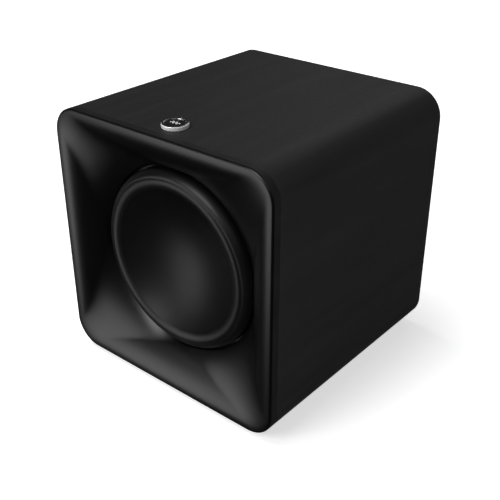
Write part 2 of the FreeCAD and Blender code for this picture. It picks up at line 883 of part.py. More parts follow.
def tinsel_leads():
    leads = []
    """Two braids from the terminal strip to a point part of the way along the cone's rear face."""
    neck_r = former_r + former_t + neck_gap + neck_wall
    edge_r = dish_bowl_r + cone_step
    end_r = neck_r + lead_share * (edge_r - neck_r)
    neck_back = neck_depth + cone_foot
    end_depth = neck_back + lead_share * (cone_depth + cone_t - neck_back)
    for s in (-1, 1):
        up = s * tab_across
        start = place(terminal_face() - 0.2, up, seat_depth - lead_from)
        bend = place(0.5 * (terminal_face() + end_r) - 1.5, up, seat_depth - 21)
        end = place(end_r + 0.6, up, end_depth + 1.4)
        path = Part.Wire(Part.Arc(start, bend, end).toShape())
        tangent = path.Edges[0].tangentAt(path.Edges[0].FirstParameter)
        section = Part.Wire(Part.makeCircle(lead_r, start, tangent))
        leads.append(path.makePipeShell([section], True, False))
    return Part.Compound(leads)


def speaker_wires():
    wires = []
    across, up = wire_at
    start = terminal_face() + terminal_t + tab_len + wire_r + 0.2
    for s in (-1, 1):
        aside = s * wire_pitch / 2
        route = [place(start, s * tab_across, seat_depth - 15),
                 place(start + 6 + aside, aside - 14, seat_depth),
                 place(start + 4 + aside, up + 30, seat_depth + 24),
                 place(start - 2 + aside, up + 12, seat_depth + 56),
                 place(across + 7 + aside, up + 4, cover_front - 55),
                 place(across + aside, up, cover_front - 26),
                 place(across + aside, up, power_board_back - board_t - 0.1)]
        wires.append(tube_along(route, wire_r))
    return Part.Compound(wires)


def driver_screws():
    spots = around(flange_bolts, flange_bolt_r, 22.5)
    return Part.Compound([screw(wood_screw, flange_depth, driver_screw_len, x, z, False) for x, z in spots])


def bezel_screws():
    length = baffle_t + bezel_screw_bite
    spots = corners(boss_across, boss_across)
    return Part.Compound([screw(wood_screw, baffle_back, length, x, z, True) for x, z in spots])


# ---- amplifier ----

def amp_plate():
    plate = slab(amp_w / 2, amp_h / 2, amp_corner_r, amp_in, amp_out, 0, amp_up)
    plate = round_front(plate, amp_edge_round, amp_out)
    low, high = amp_in - over, amp_out + over
    cuts = [disc(wood_screw[0] + clear_gap, low, high, x, z) for x, z in amp_screw_spots()]
    cuts += [disc(knob_shaft_r + shaft_hole_gap, low, high, *spot) for spot in (gain_at, crossover_at)]
    cuts.append(block(lever_slot[0], lever_slot[1], low, high, *phase_at))
    cuts.append(disc(button_r + plastic_gap, low, high, *pair_at))
    cuts.append(disc(led_r + led_gap, low, high, *led_at))
    cuts.append(disc(jack_barrel_r + glue_gap, low, high, *jack_at))
    cuts.append(slab(inlet_body[0] + plastic_gap, inlet_body[1] + socket_gap, inlet_body[2], low, high,
                     *inlet_at))
    cuts.append(slab(rocker_body[0] + glue_gap, rocker_body[1] + glue_gap, rocker_hole_corner, low, high,
                     *rocker_at))
    return without(plate, cuts)


def amp_seal():
    outer = slab(amp_w / 2 - seal_inset, amp_h / 2 - seal_inset, amp_corner_r - seal_inset,
                 rear_face, amp_in, 0, amp_up)
    low, high = rear_face - over, amp_in + over
    cuts = [slab(cutout_half_w, cutout_half_h, amp_corner_r, low, high, 0, amp_up)]
    cuts += [disc(wood_screw[0] + clear_gap, low, high, x, z) for x, z in amp_screw_spots()]
    return without(outer, cuts)


def amp_screws():
    return Part.Compound([screw(wood_screw, amp_out, amp_screw_len, x, z, True) for x, z in amp_screw_spots()])


def amp_cover():
    box = slab(cover_half_w, cover_half_h, amp_corner_r, cover_front, amp_in, 0, amp_up)
    room = slab(cover_half_w - cover_t, cover_half_h - cover_t, amp_corner_r - cover_t,
                cover_front + cover_t, amp_in + over, 0, amp_up)
    half_x, half_z, corner = grommet_hole
    hole = slab(half_x, half_z, corner, cover_front - over, cover_front + cover_t + over, *wire_at)
    return box.cut(room).cut(hole)


def wire_grommet():
    front = cover_front
    half_x, half_z, corner = grommet_hole
    reach = grommet_flange
    sleeve = slab(half_x - plastic_gap, half_z - plastic_gap, corner - plastic_gap,
                  front - grommet_reach, front + cover_t + grommet_reach, *wire_at)
    flange = slab(half_x + reach, half_z + reach, corner + reach,
                  front - grommet_reach - plastic_gap, front - plastic_gap, *wire_at)
    body = joined([sleeve, flange])
    for s in (-1, 1):
        across = wire_at[0] + s * wire_pitch / 2
        body = body.cut(disc(wire_r + glue_gap, front - 3 * over, front + 6 * over, across, wire_at[1]))
    return body


def power_posts():
    across, low, high = power_post_reach
    return [(x, power_up + z) for x in (-across, across) for z in (low, high)]


def control_posts():
    return [(x, control_up) for x in control_post_reach]


def post(across, up, depth_from, depth_to):
    return disc(post_r, depth_from, depth_to, across, up)


def circuit_board(half_x, half_z, back, posts, across, up):
    """Board whose rear face is at this depth, with a hole over each post."""
    board = slab(half_x, half_z, board_corner_r, back - board_t, back, across, up)
    holes = [disc(post_hole_r, back - board_t - over, back + over, x, z) for x, z in posts]
    return without(board, holes)


def power_board():
    half_x, half_z = power_board_half
    return circuit_board(half_x, half_z, power_board_back, power_posts(), 0, power_up)


def power_board_posts():
    return Part.Compound([post(x, z, power_board_back, amp_in) for x, z in power_posts()])


def control_board():
    half_x, half_z = control_board_half
    return circuit_board(half_x, half_z, control_board_back, control_posts(), control_board_aside, control_up)


def control_board_posts():
    return Part.Compound([post(x, z, control_board_back, amp_in) for x, z in control_posts()])


def power_transformer():
    """Laminated core, the coil through it and its bobbin's foot; each is half sizes, corner and heights."""
    seat = power_board_back - board_t
    parts = []
    for half_x, half_z, corner, high, low in (transformer_core, transformer_coil, transformer_foot):
        parts.append(slab(half_x, half_z, corner, seat - high, seat - low, *transformer_at))
    return joined(parts)


def capacitors():
    """Cans whose ends are scored with a cross."""
    seat = power_board_back - board_t
    end = seat - can_h
    cans = []
    for up in can_rows:
        can = round_front(disc(can_r, end, seat, can_across, up), can_round, end)
        for half_x, half_z in ((score_reach, score_half), (score_half, score_reach)):
            can = can.cut(block(half_x, half_z, end - over, end + score_depth, can_across, up))
        cans.append(can)
    return Part.Compound(cans)


def heat_sink():
    seat = power_board_back - board_t
    across, up = heat_sink_at
    back = seat - sink_h
    fin_up = up - fin_len / 2 - fin_root
    parts = [block(sink_half_w, sink_half_t, back, seat, across, up)]
    for i in range(sink_fins):
        x = (i - (sink_fins - 1) / 2) * fin_pitch
        parts.append(block(fin_half_t, fin_len / 2, back, seat - fin_foot, across + x, fin_up))
    return joined(parts)


def output_transistors():
    seat = power_board_back - board_t
    across, up = heat_sink_at
    half_x, half_z, tall = transistor
    up += sink_half_t + half_z + transistor_gap
    return Part.Compound([block(half_x, half_z, seat - tall, seat, across + x, up)
                          for x in (-transistor_pitch, 0, transistor_pitch)])


def wireless_module():
    """Small board with a screening can over its chip."""
    seat = control_board_back - board_t
    half_x, half_z, thick = module_board
    board = block(half_x, half_z, seat - thick, seat, module_across, control_up)
    can_x, can_z, can_corner, can_t, aside = module_can
    can = slab(can_x, can_z, can_corner, seat - thick - can_t, seat - thick, module_across + aside, control_up)
    return joined([board, can])


# ---- rear controls ----

def knob(across, up):
    """Ribbed knob with a pointer line and a blind bore for its shaft."""
    start = amp_out + running_gap
    end = start + knob_h
    body = round_front(disc(knob_r, start, end, across, up), knob_round, end)
    cuts = [disc(knob_shaft_r + shaft_gap, start - over, end - knob_top_t, across, up)]
    for i in range(knob_ribs):
        angle = math.radians(360.0 / knob_ribs * (i + 0.5))
        reach = knob_r + rib_out
        cuts.append(disc(rib_r, start + knob_skirt, end + over,
                         across + reach * math.cos(angle), up + reach * math.sin(angle)))
    half_x, half_z, deep = knob_pointer
    cuts.append(block(half_x, half_z, end - deep, end + over, across, up + 0.6 * knob_r))
    return without(body, cuts)


def knob_shaft(across, up):
    end = amp_out + running_gap + knob_h - knob_top_t - running_gap
    return disc(knob_shaft_r, amp_in - shaft_start, end, across, up)


def control_pots():
    pots = []
    for spot in (gain_at, crossover_at):
        case = block(pot_half, pot_half, control_board_back, amp_in - pot_front, *spot)
        collar = disc(knob_shaft_r + pot_collar, amp_in - pot_front - lap, amp_in, *spot)
        bore = disc(knob_shaft_r + shaft_gap, amp_in - shaft_start - plastic_gap, amp_in + over, *spot)
        pots.append(joined([case, collar]).cut(bore))
    return Part.Compound(pots)


def phase_slider():
    """Lever with three grip lines, on a wider shoe that slides inside the switch."""
    across, up = phase_at[0] - phase_travel / 2, phase_at[1]
    half_x, half_z, out = lever
    end = amp_out + out
    stem = round_front(block(half_x, half_z, amp_in - lever_shoe[3] - lap, end, across, up), lever_round, end)
    for x in (-lever_line_pitch, 0.0, lever_line_pitch):
        stem = stem.cut(block(lever_line_half, 2.0, end - lever_round, end + over, across + x, up))
    shoe_x, shoe_z, high, low = lever_shoe
    return joined([stem, block(shoe_x, shoe_z, amp_in - high, amp_in - low, across, up)])


def phase_switch_body():
    shoe_x, shoe_z, high, low = lever_shoe
    reach = phase_travel / 2 + plastic_gap
    half_x, half_z = phase_case_half
    case = block(half_x, half_z, control_board_back, amp_in - 0.2, *phase_at)
    room = block(shoe_x + reach, shoe_z + plastic_gap, amp_in - high - plastic_gap, amp_in - low + plastic_gap,
                 *phase_at)
    slot = block(lever[0] + reach, lever[1] + plastic_gap, amp_in - low, amp_in, *phase_at)
    return case.cut(room).cut(slot)


def pair_button():
    """Cap, a flange that keeps it behind the plate, and the stem that presses the switch."""
    end = amp_out + button_out
    cap = round_front(disc(button_r, amp_in - 2.0, end, *pair_at), button_round, end)
    flange = disc(button_flange_r, amp_in - 2.4, amp_in - plastic_gap, *pair_at)
    stem = disc(button_stem_r, amp_in - button_stem_end, amp_in - 2.0, *pair_at)
    return joined([cap, flange, stem])


def pair_switch():
    half, tall, plunger = pair_case
    case = block(half, half, control_board_back, control_board_back + tall, *pair_at)
    nub = disc(button_stem_r, control_board_back + tall - lap, control_board_back + tall + plunger, *pair_at)
    return joined([case, nub])


def status_led():
    end = amp_out + led_out
    lens = round_front(disc(led_r, control_board_back + lap, end, *led_at), led_round, end)
    return joined([lens, disc(led_flange_r, control_board_back, control_board_back + led_flange_t, *led_at)])


def power_rocker():
    """See-saw cap: two faces that meet at its middle, pressed in at its lower half."""
    tall, rise, middle, waist, below = rocker_profile
    profile = [(-tall, 0.0), (-tall, rise), (0.0, middle), (tall, rise), (tall, 0.0), (waist, -below),
               (-waist, -below)]
    across, up = rocker_at
    points = [place(across - rocker_half_w, up + z, rocker_pivot + d) for z, d in profile]
    face = Part.Face(Part.makePolygon(points + points[:1]))
    cap = face.extrude(Vector(2 * rocker_half_w, 0, 0))
    pin_half = rocker_half_w + rocker_pin_len
    pins = Part.makeCylinder(rocker_pin_r, 2 * pin_half, place(across - pin_half, up, rocker_pivot),
                             Vector(1, 0, 0))
    rocker = joined([cap, pins])
    rocker.rotate(place(across, up, rocker_pivot), Vector(1, 0, 0), rocker_tilt)
    return rocker


def rocker_housing():
    half_x, half_z, deep = rocker_body
    frame_x, frame_z, frame_corner, frame_t = rocker_frame
    frame = slab(frame_x, frame_z, frame_corner, amp_out, amp_out + frame_t, *rocker_at)
    body = slab(half_x, half_z, rocker_body_corner, amp_in - deep, amp_out + lap, *rocker_at)
    room = block(rocker_half_w + plastic_gap, half_z - rocker_wall, amp_in - rocker_room,
                 amp_out + frame_t + over, *rocker_at)
    bore_half = rocker_half_w + rocker_pin_len + plastic_gap
    bore = Part.makeCylinder(rocker_pin_r + shaft_gap, 2 * bore_half,
                             place(rocker_at[0] - bore_half, rocker_at[1], rocker_pivot), Vector(1, 0, 0))
    return joined([frame, body]).cut(room).cut(bore)


def mains_inlet():
    flange_x, flange_z, flange_corner = inlet_flange
    half_x, half_z, corner = inlet_body
    room_x, room_z, room_corner = inlet_room
    out = amp_out + inlet_flange_t
    flange = round_front(slab(flange_x, flange_z, flange_corner, amp_out, out, *inlet_at), inlet_round, out)
    body = slab(half_x, half_z, corner, amp_in - inlet_depth, amp_out + lap, *inlet_at)
    cavity = slab(room_x, room_z, room_corner, out - inlet_room_depth, out + 2 * over, *inlet_at)
    cuts = []
    for across, up in inlet_pins():
        cuts.append(block(blade_half[0] + shaft_gap, blade_half[1] + shaft_gap,
                          amp_in - inlet_depth - 2 * over, amp_in, across, up))
    return without(joined([flange, body]).cut(cavity), cuts)


def inlet_pins():
    across, low, high = blade_places
    return [(inlet_at[0] + x, inlet_at[1] + z) for x, z in ((-across, low), (across, low), (0.0, high))]


def inlet_blades():
    start = amp_in - inlet_depth - blade_tail
    return Part.Compound([block(blade_half[0], blade_half[1], start, amp_out, x, z) for x, z in inlet_pins()])


def line_in_jack():
    start = amp_out + jack_seat_t
    shell = ring(rca_r, rca_r - rca_wall, start, start + rca_len, *jack_at)
    return round_front(shell, rca_round, start + rca_len)


def jack_insulator():
    """Seat outside the plate, core inside the shell, barrel through the plate and the nut behind it."""
    out = amp_out + jack_seat_t
    seat = round_front(disc(jack_seat_r, amp_out, out, *jack_at), jack_seat_round, out)
    core = disc(rca_r - rca_wall - shaft_gap, amp_out, out + rca_len - core_inset, *jack_at)
    barrel = disc(jack_barrel_r, amp_in - jack_barrel_len, amp_out + lap, *jack_at)
    nut = disc(jack_nut_r, amp_in - jack_nut_t, amp_in, *jack_at)
    bore = disc(contact_r + shaft_gap, amp_in - contact_tail - glue_gap, out + 2 * rca_len, *jack_at)
    return joined([seat, core, barrel, nut]).cut(bore)


def jack_contact():
    end = amp_out + jack_seat_t + rca_len - core_inset - 0.5
    return ring(contact_r, contact_r - contact_wall, amp_in - contact_tail, end, *jack_at)


def foot_spots():
    return corners(foot_across, foot_across)


pieces = {
    "cabinet_shell": cabinet_shell(),
    "front_baffle": front_baffle(),
    "cabinet_brace": cabinet_brace(),
    "rear_board": rear_board(),
    "port_tube": port_tube(),
    "rubber_feet": Part.Compound([rubber_foot(x, y) for x, y in foot_spots()]),
    "foot_screws": Part.Compound([foot_fixing(x, y) for x, y in foot_spots()]),
    "badge_ring": badge_ring(),
    "badge_insert": badge_insert(),
    "horn_bezel": horn_bezel(),
    "bezel_screws": bezel_screws(),
    "throat_gasket": throat_gasket(),
    "surround": surround(),
    "dish": dish(),
    "cone_body": cone_body(),
    "voice_coil_former": voice_coil_former(),
    "voice_coil_winding": voice_coil_winding(),
    "spider": spider(),
    "basket": basket(),
    "flange_gasket": flange_gasket(),
    "driver_screws": driver_screws(),
    "top_plate": top_plate(),
    "magnet": magnet(),
    "yoke": yoke(),
    "terminal_strip": terminal_strip(),
    "terminal_tabs": terminal_tabs(),
    "tinsel_leads": tinsel_leads(),
    "speaker_wires": speaker_wires(),
    "amp_plate": amp_plate(),
    "amp_seal": amp_seal(),
    "amp_screws": amp_screws(),
    "amp_cover": amp_cover(),
    "wire_grommet": wire_grommet(),
    "power_board": power_board(),
    "power_board_posts": power_board_posts(),
    "control_board": control_board(),
    "control_board_posts": control_board_posts(),
    "power_transformer": power_transformer(),
    "capacitors": capacitors(),
    "heat_sink": heat_sink(),
    "output_transistors": output_transistors(),
    "wireless_module": wireless_module(),
    "gain_knob": knob(*gain_at),
    "gain_shaft": knob_shaft(*gain_at),
    "crossover_knob": knob(*crossover_at),
    "crossover_shaft": knob_shaft(*crossover_at),
    "control_pots": control_pots(),
    "phase_slider": phase_slider(),
    "phase_switch_body": phase_switch_body(),
    "pair_button": pair_button(),
    "pair_switch": pair_switch(),
    "status_led": status_led(),
    "power_rocker": power_rocker(),
    "rocker_housing": rocker_housing(),
    "mains_inlet": mains_inlet(),
    "inlet_blades": inlet_blades(),
    "line_in_jack": line_in_jack(),
    "jack_insulator": jack_insulator(),
    "jack_contact": jack_contact(),
}

for name, shape in pieces.items():
    shape.exportStep(os.path.join("parts", name + ".step"))
    valid = "valid" if shape.isValid() else "NOT VALID"
    print(f"{name}: {len(shape.Solids)} solid(s), {shape.Volume / 1000:.2f} cm3, {valid}")
print(len(pieces), "nodes")
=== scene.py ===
import math

import bmesh
import bpy
import numpy as np
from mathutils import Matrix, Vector


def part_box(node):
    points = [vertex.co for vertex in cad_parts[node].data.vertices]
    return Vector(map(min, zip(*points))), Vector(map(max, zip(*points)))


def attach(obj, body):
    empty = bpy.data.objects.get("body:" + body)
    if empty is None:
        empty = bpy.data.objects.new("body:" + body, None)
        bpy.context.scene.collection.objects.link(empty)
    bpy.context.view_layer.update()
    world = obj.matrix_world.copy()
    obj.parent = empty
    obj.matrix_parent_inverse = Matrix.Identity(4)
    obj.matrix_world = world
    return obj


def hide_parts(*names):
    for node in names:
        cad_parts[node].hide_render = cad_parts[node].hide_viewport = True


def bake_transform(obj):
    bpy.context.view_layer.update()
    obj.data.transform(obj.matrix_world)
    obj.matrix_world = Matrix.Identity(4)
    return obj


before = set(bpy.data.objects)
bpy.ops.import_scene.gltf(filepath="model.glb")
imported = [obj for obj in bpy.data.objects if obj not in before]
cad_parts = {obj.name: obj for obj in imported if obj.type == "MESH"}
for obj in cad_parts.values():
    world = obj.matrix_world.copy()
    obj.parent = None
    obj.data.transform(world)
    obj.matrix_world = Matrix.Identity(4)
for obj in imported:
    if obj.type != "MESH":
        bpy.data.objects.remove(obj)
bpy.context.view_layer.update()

# Places that everything else is worked out from, in metres
bezelLow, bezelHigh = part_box("horn_bezel")
shellLow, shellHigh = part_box("cabinet_shell")
dishLow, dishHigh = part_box("dish")
frontY = bezelLow[1]
backY = shellHigh[1]
topZ = shellHigh[2]
halfWidth = (bezelHigh[0] - bezelLow[0]) / 2
axisZ = (dishLow[2] + dishHigh[2]) / 2
lipDepth = shellLow[1] - frontY


# Mesh building: every new surface is a grid of points, rows along a profile and columns around it

mergeDistance = 1e-6


def gridFaces(rows, columns, offset, closed):
    # Each face joins a point with the next one in its row and the two in the next row; columns wrap round
    last = rows if closed else rows - 1
    i, j = np.meshgrid(np.arange(last), np.arange(columns), indexing="ij")
    k, m = (i + 1) % rows, (j + 1) % columns
    quads = np.stack([i * columns + j, k * columns + j, k * columns + m, i * columns + m], -1)
    return quads.reshape(-1, 4) + offset


def makePiece(name, grids, material, sharpDegrees):
    # grids holds (points, closed) pairs; closed grids also join their last row to their first
    points, faces, offset = [], [], 0
    for grid, closed in grids:
        rows, columns = grid.shape[:2]
        points.append(grid.reshape(-1, 3))
        faces.append(gridFaces(rows, columns, offset, closed))
        offset += rows * columns
    points, faces = np.concatenate(points), np.concatenate(faces)
    mesh = bpy.data.meshes.new(name)
    mesh.vertices.add(len(points))
    mesh.vertices.foreach_set("co", points.astype(np.float32).ravel())
    mesh.loops.add(faces.size)
    mesh.loops.foreach_set("vertex_index", faces.astype(np.int32).ravel())
    mesh.polygons.add(len(faces))
    mesh.polygons.foreach_set("loop_start", np.arange(0, faces.size, 4, dtype=np.int32))
    mesh.update(calc_edges=True)
    mesh.validate()
    work = bmesh.new()
    work.from_mesh(mesh)
    bmesh.ops.remove_doubles(work, verts=work.verts, dist=mergeDistance)
    bmesh.ops.recalc_face_normals(work, faces=work.faces)
    work.to_mesh(mesh)
    work.free()
    mesh.shade_smooth()
    mesh.set_sharp_from_angle(angle=math.radians(sharpDegrees))
    mesh.materials.append(material)
    piece = bpy.data.objects.new(name, mesh)
    bpy.context.scene.collection.objects.link(piece)
    return piece


def faceFacts(piece):
    # Each face's normal and centre, as two arrays
    faces = piece.data.polygons
    normals, centres = np.empty(len(faces) * 3, np.float32), np.empty(len(faces) * 3, np.float32)
    faces.foreach_get("normal", normals)
    faces.foreach_get("center", centres)
    return normals.reshape(-1, 3), centres.reshape(-1, 3)


def giveFaces(piece, material, chosen):
    # The chosen faces take a second material
    piece.data.materials.append(material)
    piece.data.polygons.foreach_set("material_index", chosen.astype(np.int32))


def settle(piece, body, slot, *nodes):
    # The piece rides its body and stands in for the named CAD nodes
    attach(piece, body)
    if nodes:
        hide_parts(*nodes)


def arc(centre, radii, fromDegrees, toDegrees, steps):
    # Points of an ellipse: centre plus the two radii times cosine and sine of an angle that runs evenly
    a = np.radians(np.linspace(fromDegrees, toDegrees, steps))
    return np.stack([centre[0] + radii[0] * np.cos(a), centre[1] + radii[1] * np.sin(a)], -1)


def run(start, end, steps=2):
    # Evenly spaced points of a straight line, both ends included
    share = np.linspace(0, 1, steps)[:, None]
    return np.array(start) * (1 - share) + np.array(end) * share


def turned(profile, around, across=0.0, up=0.0):
    # Each (radius, depth) point goes round the axis along Y: x and z are radius times cosine and sine
    a = np.linspace(0, 2 * np.pi, around, endpoint=False)
    r, d = profile[:, :1], profile[:, 1:]
    return np.stack([across + r * np.cos(a), frontY + d + 0 * a, axisZ + up + r * np.sin(a)], -1)


def turnedUpright(profile, around, x, y):
    # Each (radius, height) point goes round a vertical axis at x, y
    a = np.linspace(0, 2 * np.pi, around, endpoint=False)
    r, h = profile[:, :1], profile[:, 1:]
    return np.stack([x + r * np.cos(a), y + r * np.sin(a), h + 0 * a], -1)


def squareRings(half, corner, depth, around):
    # Rounded squares walked at even steps: a place is how far its share of the ring's length reaches
    # along a half side, a corner arc and a half side, in one quarter that is then turned
    t = np.linspace(0, 4, around, endpoint=False)
    quarter = np.floor(t).astype(int)
    half, corner, depth = (np.asarray(v, float)[:, None] for v in (half, corner, depth))
    side = half - corner
    bend = corner * np.pi / 2
    reach = (t - quarter)[None, :] * (2 * side + bend)
    angle = np.clip((reach - side) / corner, 0, np.pi / 2)
    past = reach > side + bend
    x = np.where(past, 2 * side + bend - reach, side + corner * np.cos(angle))
    z = np.where(reach < side, reach, side + corner * np.sin(angle))
    cosine, sine = np.array([1, 0, -1, 0])[quarter], np.array([0, 1, 0, -1])[quarter]
    return np.stack([x * cosine - z * sine, frontY + depth + 0 * x, axisZ + x * sine + z * cosine], -1)


# Shader node groups that several finishes share

def newGroup(name, inputs, outputs):
    group = bpy.data.node_groups.new(name, "ShaderNodeTree")
    for label, kind, value in inputs:
        socket = group.interface.new_socket(label, in_out="INPUT", socket_type=kind)
        if value is not None:
            socket.default_value = value
    for label, kind in outputs:
        group.interface.new_socket(label, in_out="OUTPUT", socket_type=kind)
    return group, group.nodes.new("NodeGroupInput"), group.nodes.new("NodeGroupOutput")


def addNode(tree, kind, settings=(), inputs=()):
    node = tree.nodes.new(kind)
    for key, value in dict(settings).items():
        setattr(node, key, value)
    for key, value in dict(inputs).items():
        node.inputs[key].default_value = value
    return node


def makeGrainGroup():
    # Even noise on object coordinates: its value, and a normal bumped by it
    group, given, out = newGroup("mouldGrain", [
        ("Scale", "NodeSocketFloat", 900.0), ("Depth", "NodeSocketFloat", 0.00005),
        ("Stretch", "NodeSocketVector", (1.0, 1.0, 1.0)), ("Detail", "NodeSocketFloat", 3.0),
        ("Normal", "NodeSocketVector", None)],
        [("Value", "NodeSocketFloat"), ("Normal", "NodeSocketVector")])
    place = addNode(group, "ShaderNodeTexCoord")
    stretch = addNode(group, "ShaderNodeVectorMath", {"operation": "MULTIPLY"})
    noise = addNode(group, "ShaderNodeTexNoise", {}, {"Roughness": 0.55})
    bump = addNode(group, "ShaderNodeBump", {}, {"Strength": 1.0})
    link = group.links.new
    link(place.outputs["Object"], stretch.inputs[0])
    link(given.outputs["Stretch"], stretch.inputs[1])
    link(stretch.outputs[0], noise.inputs["Vector"])
    link(given.outputs["Scale"], noise.inputs["Scale"])
    link(given.outputs["Detail"], noise.inputs["Detail"])
    link(noise.outputs["Fac"], bump.inputs["Height"])
    link(given.outputs["Depth"], bump.inputs["Distance"])
    link(given.outputs["Normal"], bump.inputs["Normal"])
    link(noise.outputs["Fac"], out.inputs["Value"])
    link(bump.outputs["Normal"], out.inputs["Normal"])
    return group


def makeDustGroup():
    # Dust gathers where the surface faces up: upward share of the normal times broad and fine noise
    group, given, out = newGroup("settledDust", [
        ("Colour", "NodeSocketColor", (0.02, 0.02, 0.02, 1.0)), ("Amount", "NodeSocketFloat", 0.1),
        ("Roughness", "NodeSocketFloat", 0.4)],
        [("Colour", "NodeSocketColor"), ("Roughness", "NodeSocketFloat")])
    place = addNode(group, "ShaderNodeTexCoord")
    shape = addNode(group, "ShaderNodeNewGeometry")
    split = addNode(group, "ShaderNodeSeparateXYZ")
    upward = addNode(group, "ShaderNodeMapRange", {"clamp": True}, {"From Min": 0.2, "From Max": 1.0})
    patches = addNode(group, "ShaderNodeTexNoise", {}, {"Scale": 14.0, "Detail": 6.0, "Roughness": 0.7})
    specks = addNode(group, "ShaderNodeTexNoise", {}, {"Scale": 1400.0, "Detail": 2.0})
    speckMask = addNode(group, "ShaderNodeMapRange", {"clamp": True}, {"From Min": 0.5, "From Max": 0.75})
    both = addNode(group, "ShaderNodeMath", {"operation": "MULTIPLY"})
    mixed = addNode(group, "ShaderNodeMath", {"operation": "MULTIPLY"})
    strength = addNode(group, "ShaderNodeMath", {"operation": "MULTIPLY", "use_clamp": True})
    tint = addNode(group, "ShaderNodeMix", {"data_type": "RGBA"}, {"B": (0.22, 0.21, 0.2, 1.0)})
    rough = addNode(group, "ShaderNodeMath", {"operation": "MULTIPLY_ADD"}, {1: 0.35})
    link = group.links.new
    link(shape.outputs["Normal"], split.inputs[0])
    link(split.outputs["Z"], upward.inputs["Value"])
    link(place.outputs["Object"], patches.inputs["Vector"])
    link(place.outputs["Object"], specks.inputs["Vector"])
    link(specks.outputs["Fac"], speckMask.inputs["Value"])
    link(patches.outputs["Fac"], both.inputs[0])
    link(speckMask.outputs["Result"], both.inputs[1])
    link(both.outputs[0], mixed.inputs[0])
    link(upward.outputs["Result"], mixed.inputs[1])
    link(mixed.outputs[0], strength.inputs[0])
    link(given.outputs["Amount"], strength.inputs[1])
    link(strength.outputs[0], tint.inputs["Factor"])
    link(given.outputs["Colour"], tint.inputs["A"])
    link(strength.outputs[0], rough.inputs[0])
    link(given.outputs["Roughness"], rough.inputs[2])
    link(tint.outputs["Result"], out.inputs["Colour"])
    link(rough.outputs[0], out.inputs["Roughness"])
    return group


def makeEdgeGroup():
    # Handling rubs the raised edges: the share of each place that is more convex than its surroundings
    group, given, out = newGroup("rubbedEdge", [
        ("Colour", "NodeSocketColor", (0.02, 0.02, 0.02, 1.0)),
        ("Worn", "NodeSocketColor", (0.05, 0.05, 0.05, 1.0)), ("Amount", "NodeSocketFloat", 0.5)],
        [("Colour", "NodeSocketColor"), ("Mask", "NodeSocketFloat")])
    shape = addNode(group, "ShaderNodeNewGeometry")
    place = addNode(group, "ShaderNodeTexCoord")
    edge = addNode(group, "ShaderNodeMapRange", {"clamp": True}, {"From Min": 0.52, "From Max": 0.62})
    noise = addNode(group, "ShaderNodeTexNoise", {}, {"Scale": 90.0, "Detail": 5.0})
    broken = addNode(group, "ShaderNodeMath", {"operation": "MULTIPLY"})
    strength = addNode(group, "ShaderNodeMath", {"operation": "MULTIPLY", "use_clamp": True})
    tint = addNode(group, "ShaderNodeMix", {"data_type": "RGBA"})
    link = group.links.new
    link(shape.outputs["Pointiness"], edge.inputs["Value"])
    link(place.outputs["Object"], noise.inputs["Vector"])
    link(edge.outputs["Result"], broken.inputs[0])
    link(noise.outputs["Fac"], broken.inputs[1])
    link(broken.outputs[0], strength.inputs[0])
    link(given.outputs["Amount"], strength.inputs[1])
    link(strength.outputs[0], tint.inputs["Factor"])
    link(given.outputs["Colour"], tint.inputs["A"])
    link(given.outputs["Worn"], tint.inputs["B"])
    link(tint.outputs["Result"], out.inputs["Colour"])
    link(strength.outputs[0], out.inputs["Mask"])
    return group


mouldGrain = makeGrainGroup()
settledDust = makeDustGroup()
rubbedEdge = makeEdgeGroup()
print("shader groups made")


def placeGroup(tree, group, values):
    node = tree.nodes.new("ShaderNodeGroup")
    node.node_tree = group
    for key, value in values.items():
        node.inputs[key].default_value = value
    return node


# What a finish has where it says nothing else
plainFinish = {"metal": 0.0, "specular": 0.5, "broadScale": 25.0, "broadDepth": 0.0,
               "broadStretch": (1, 1, 1), "grainScale": 1500.0, "grainDepth": 0.00002,
               "grainStretch": (1, 1, 1), "rubbed": 0.0, "worn": (0.1, 0.1, 0.1), "dust": 0.0}


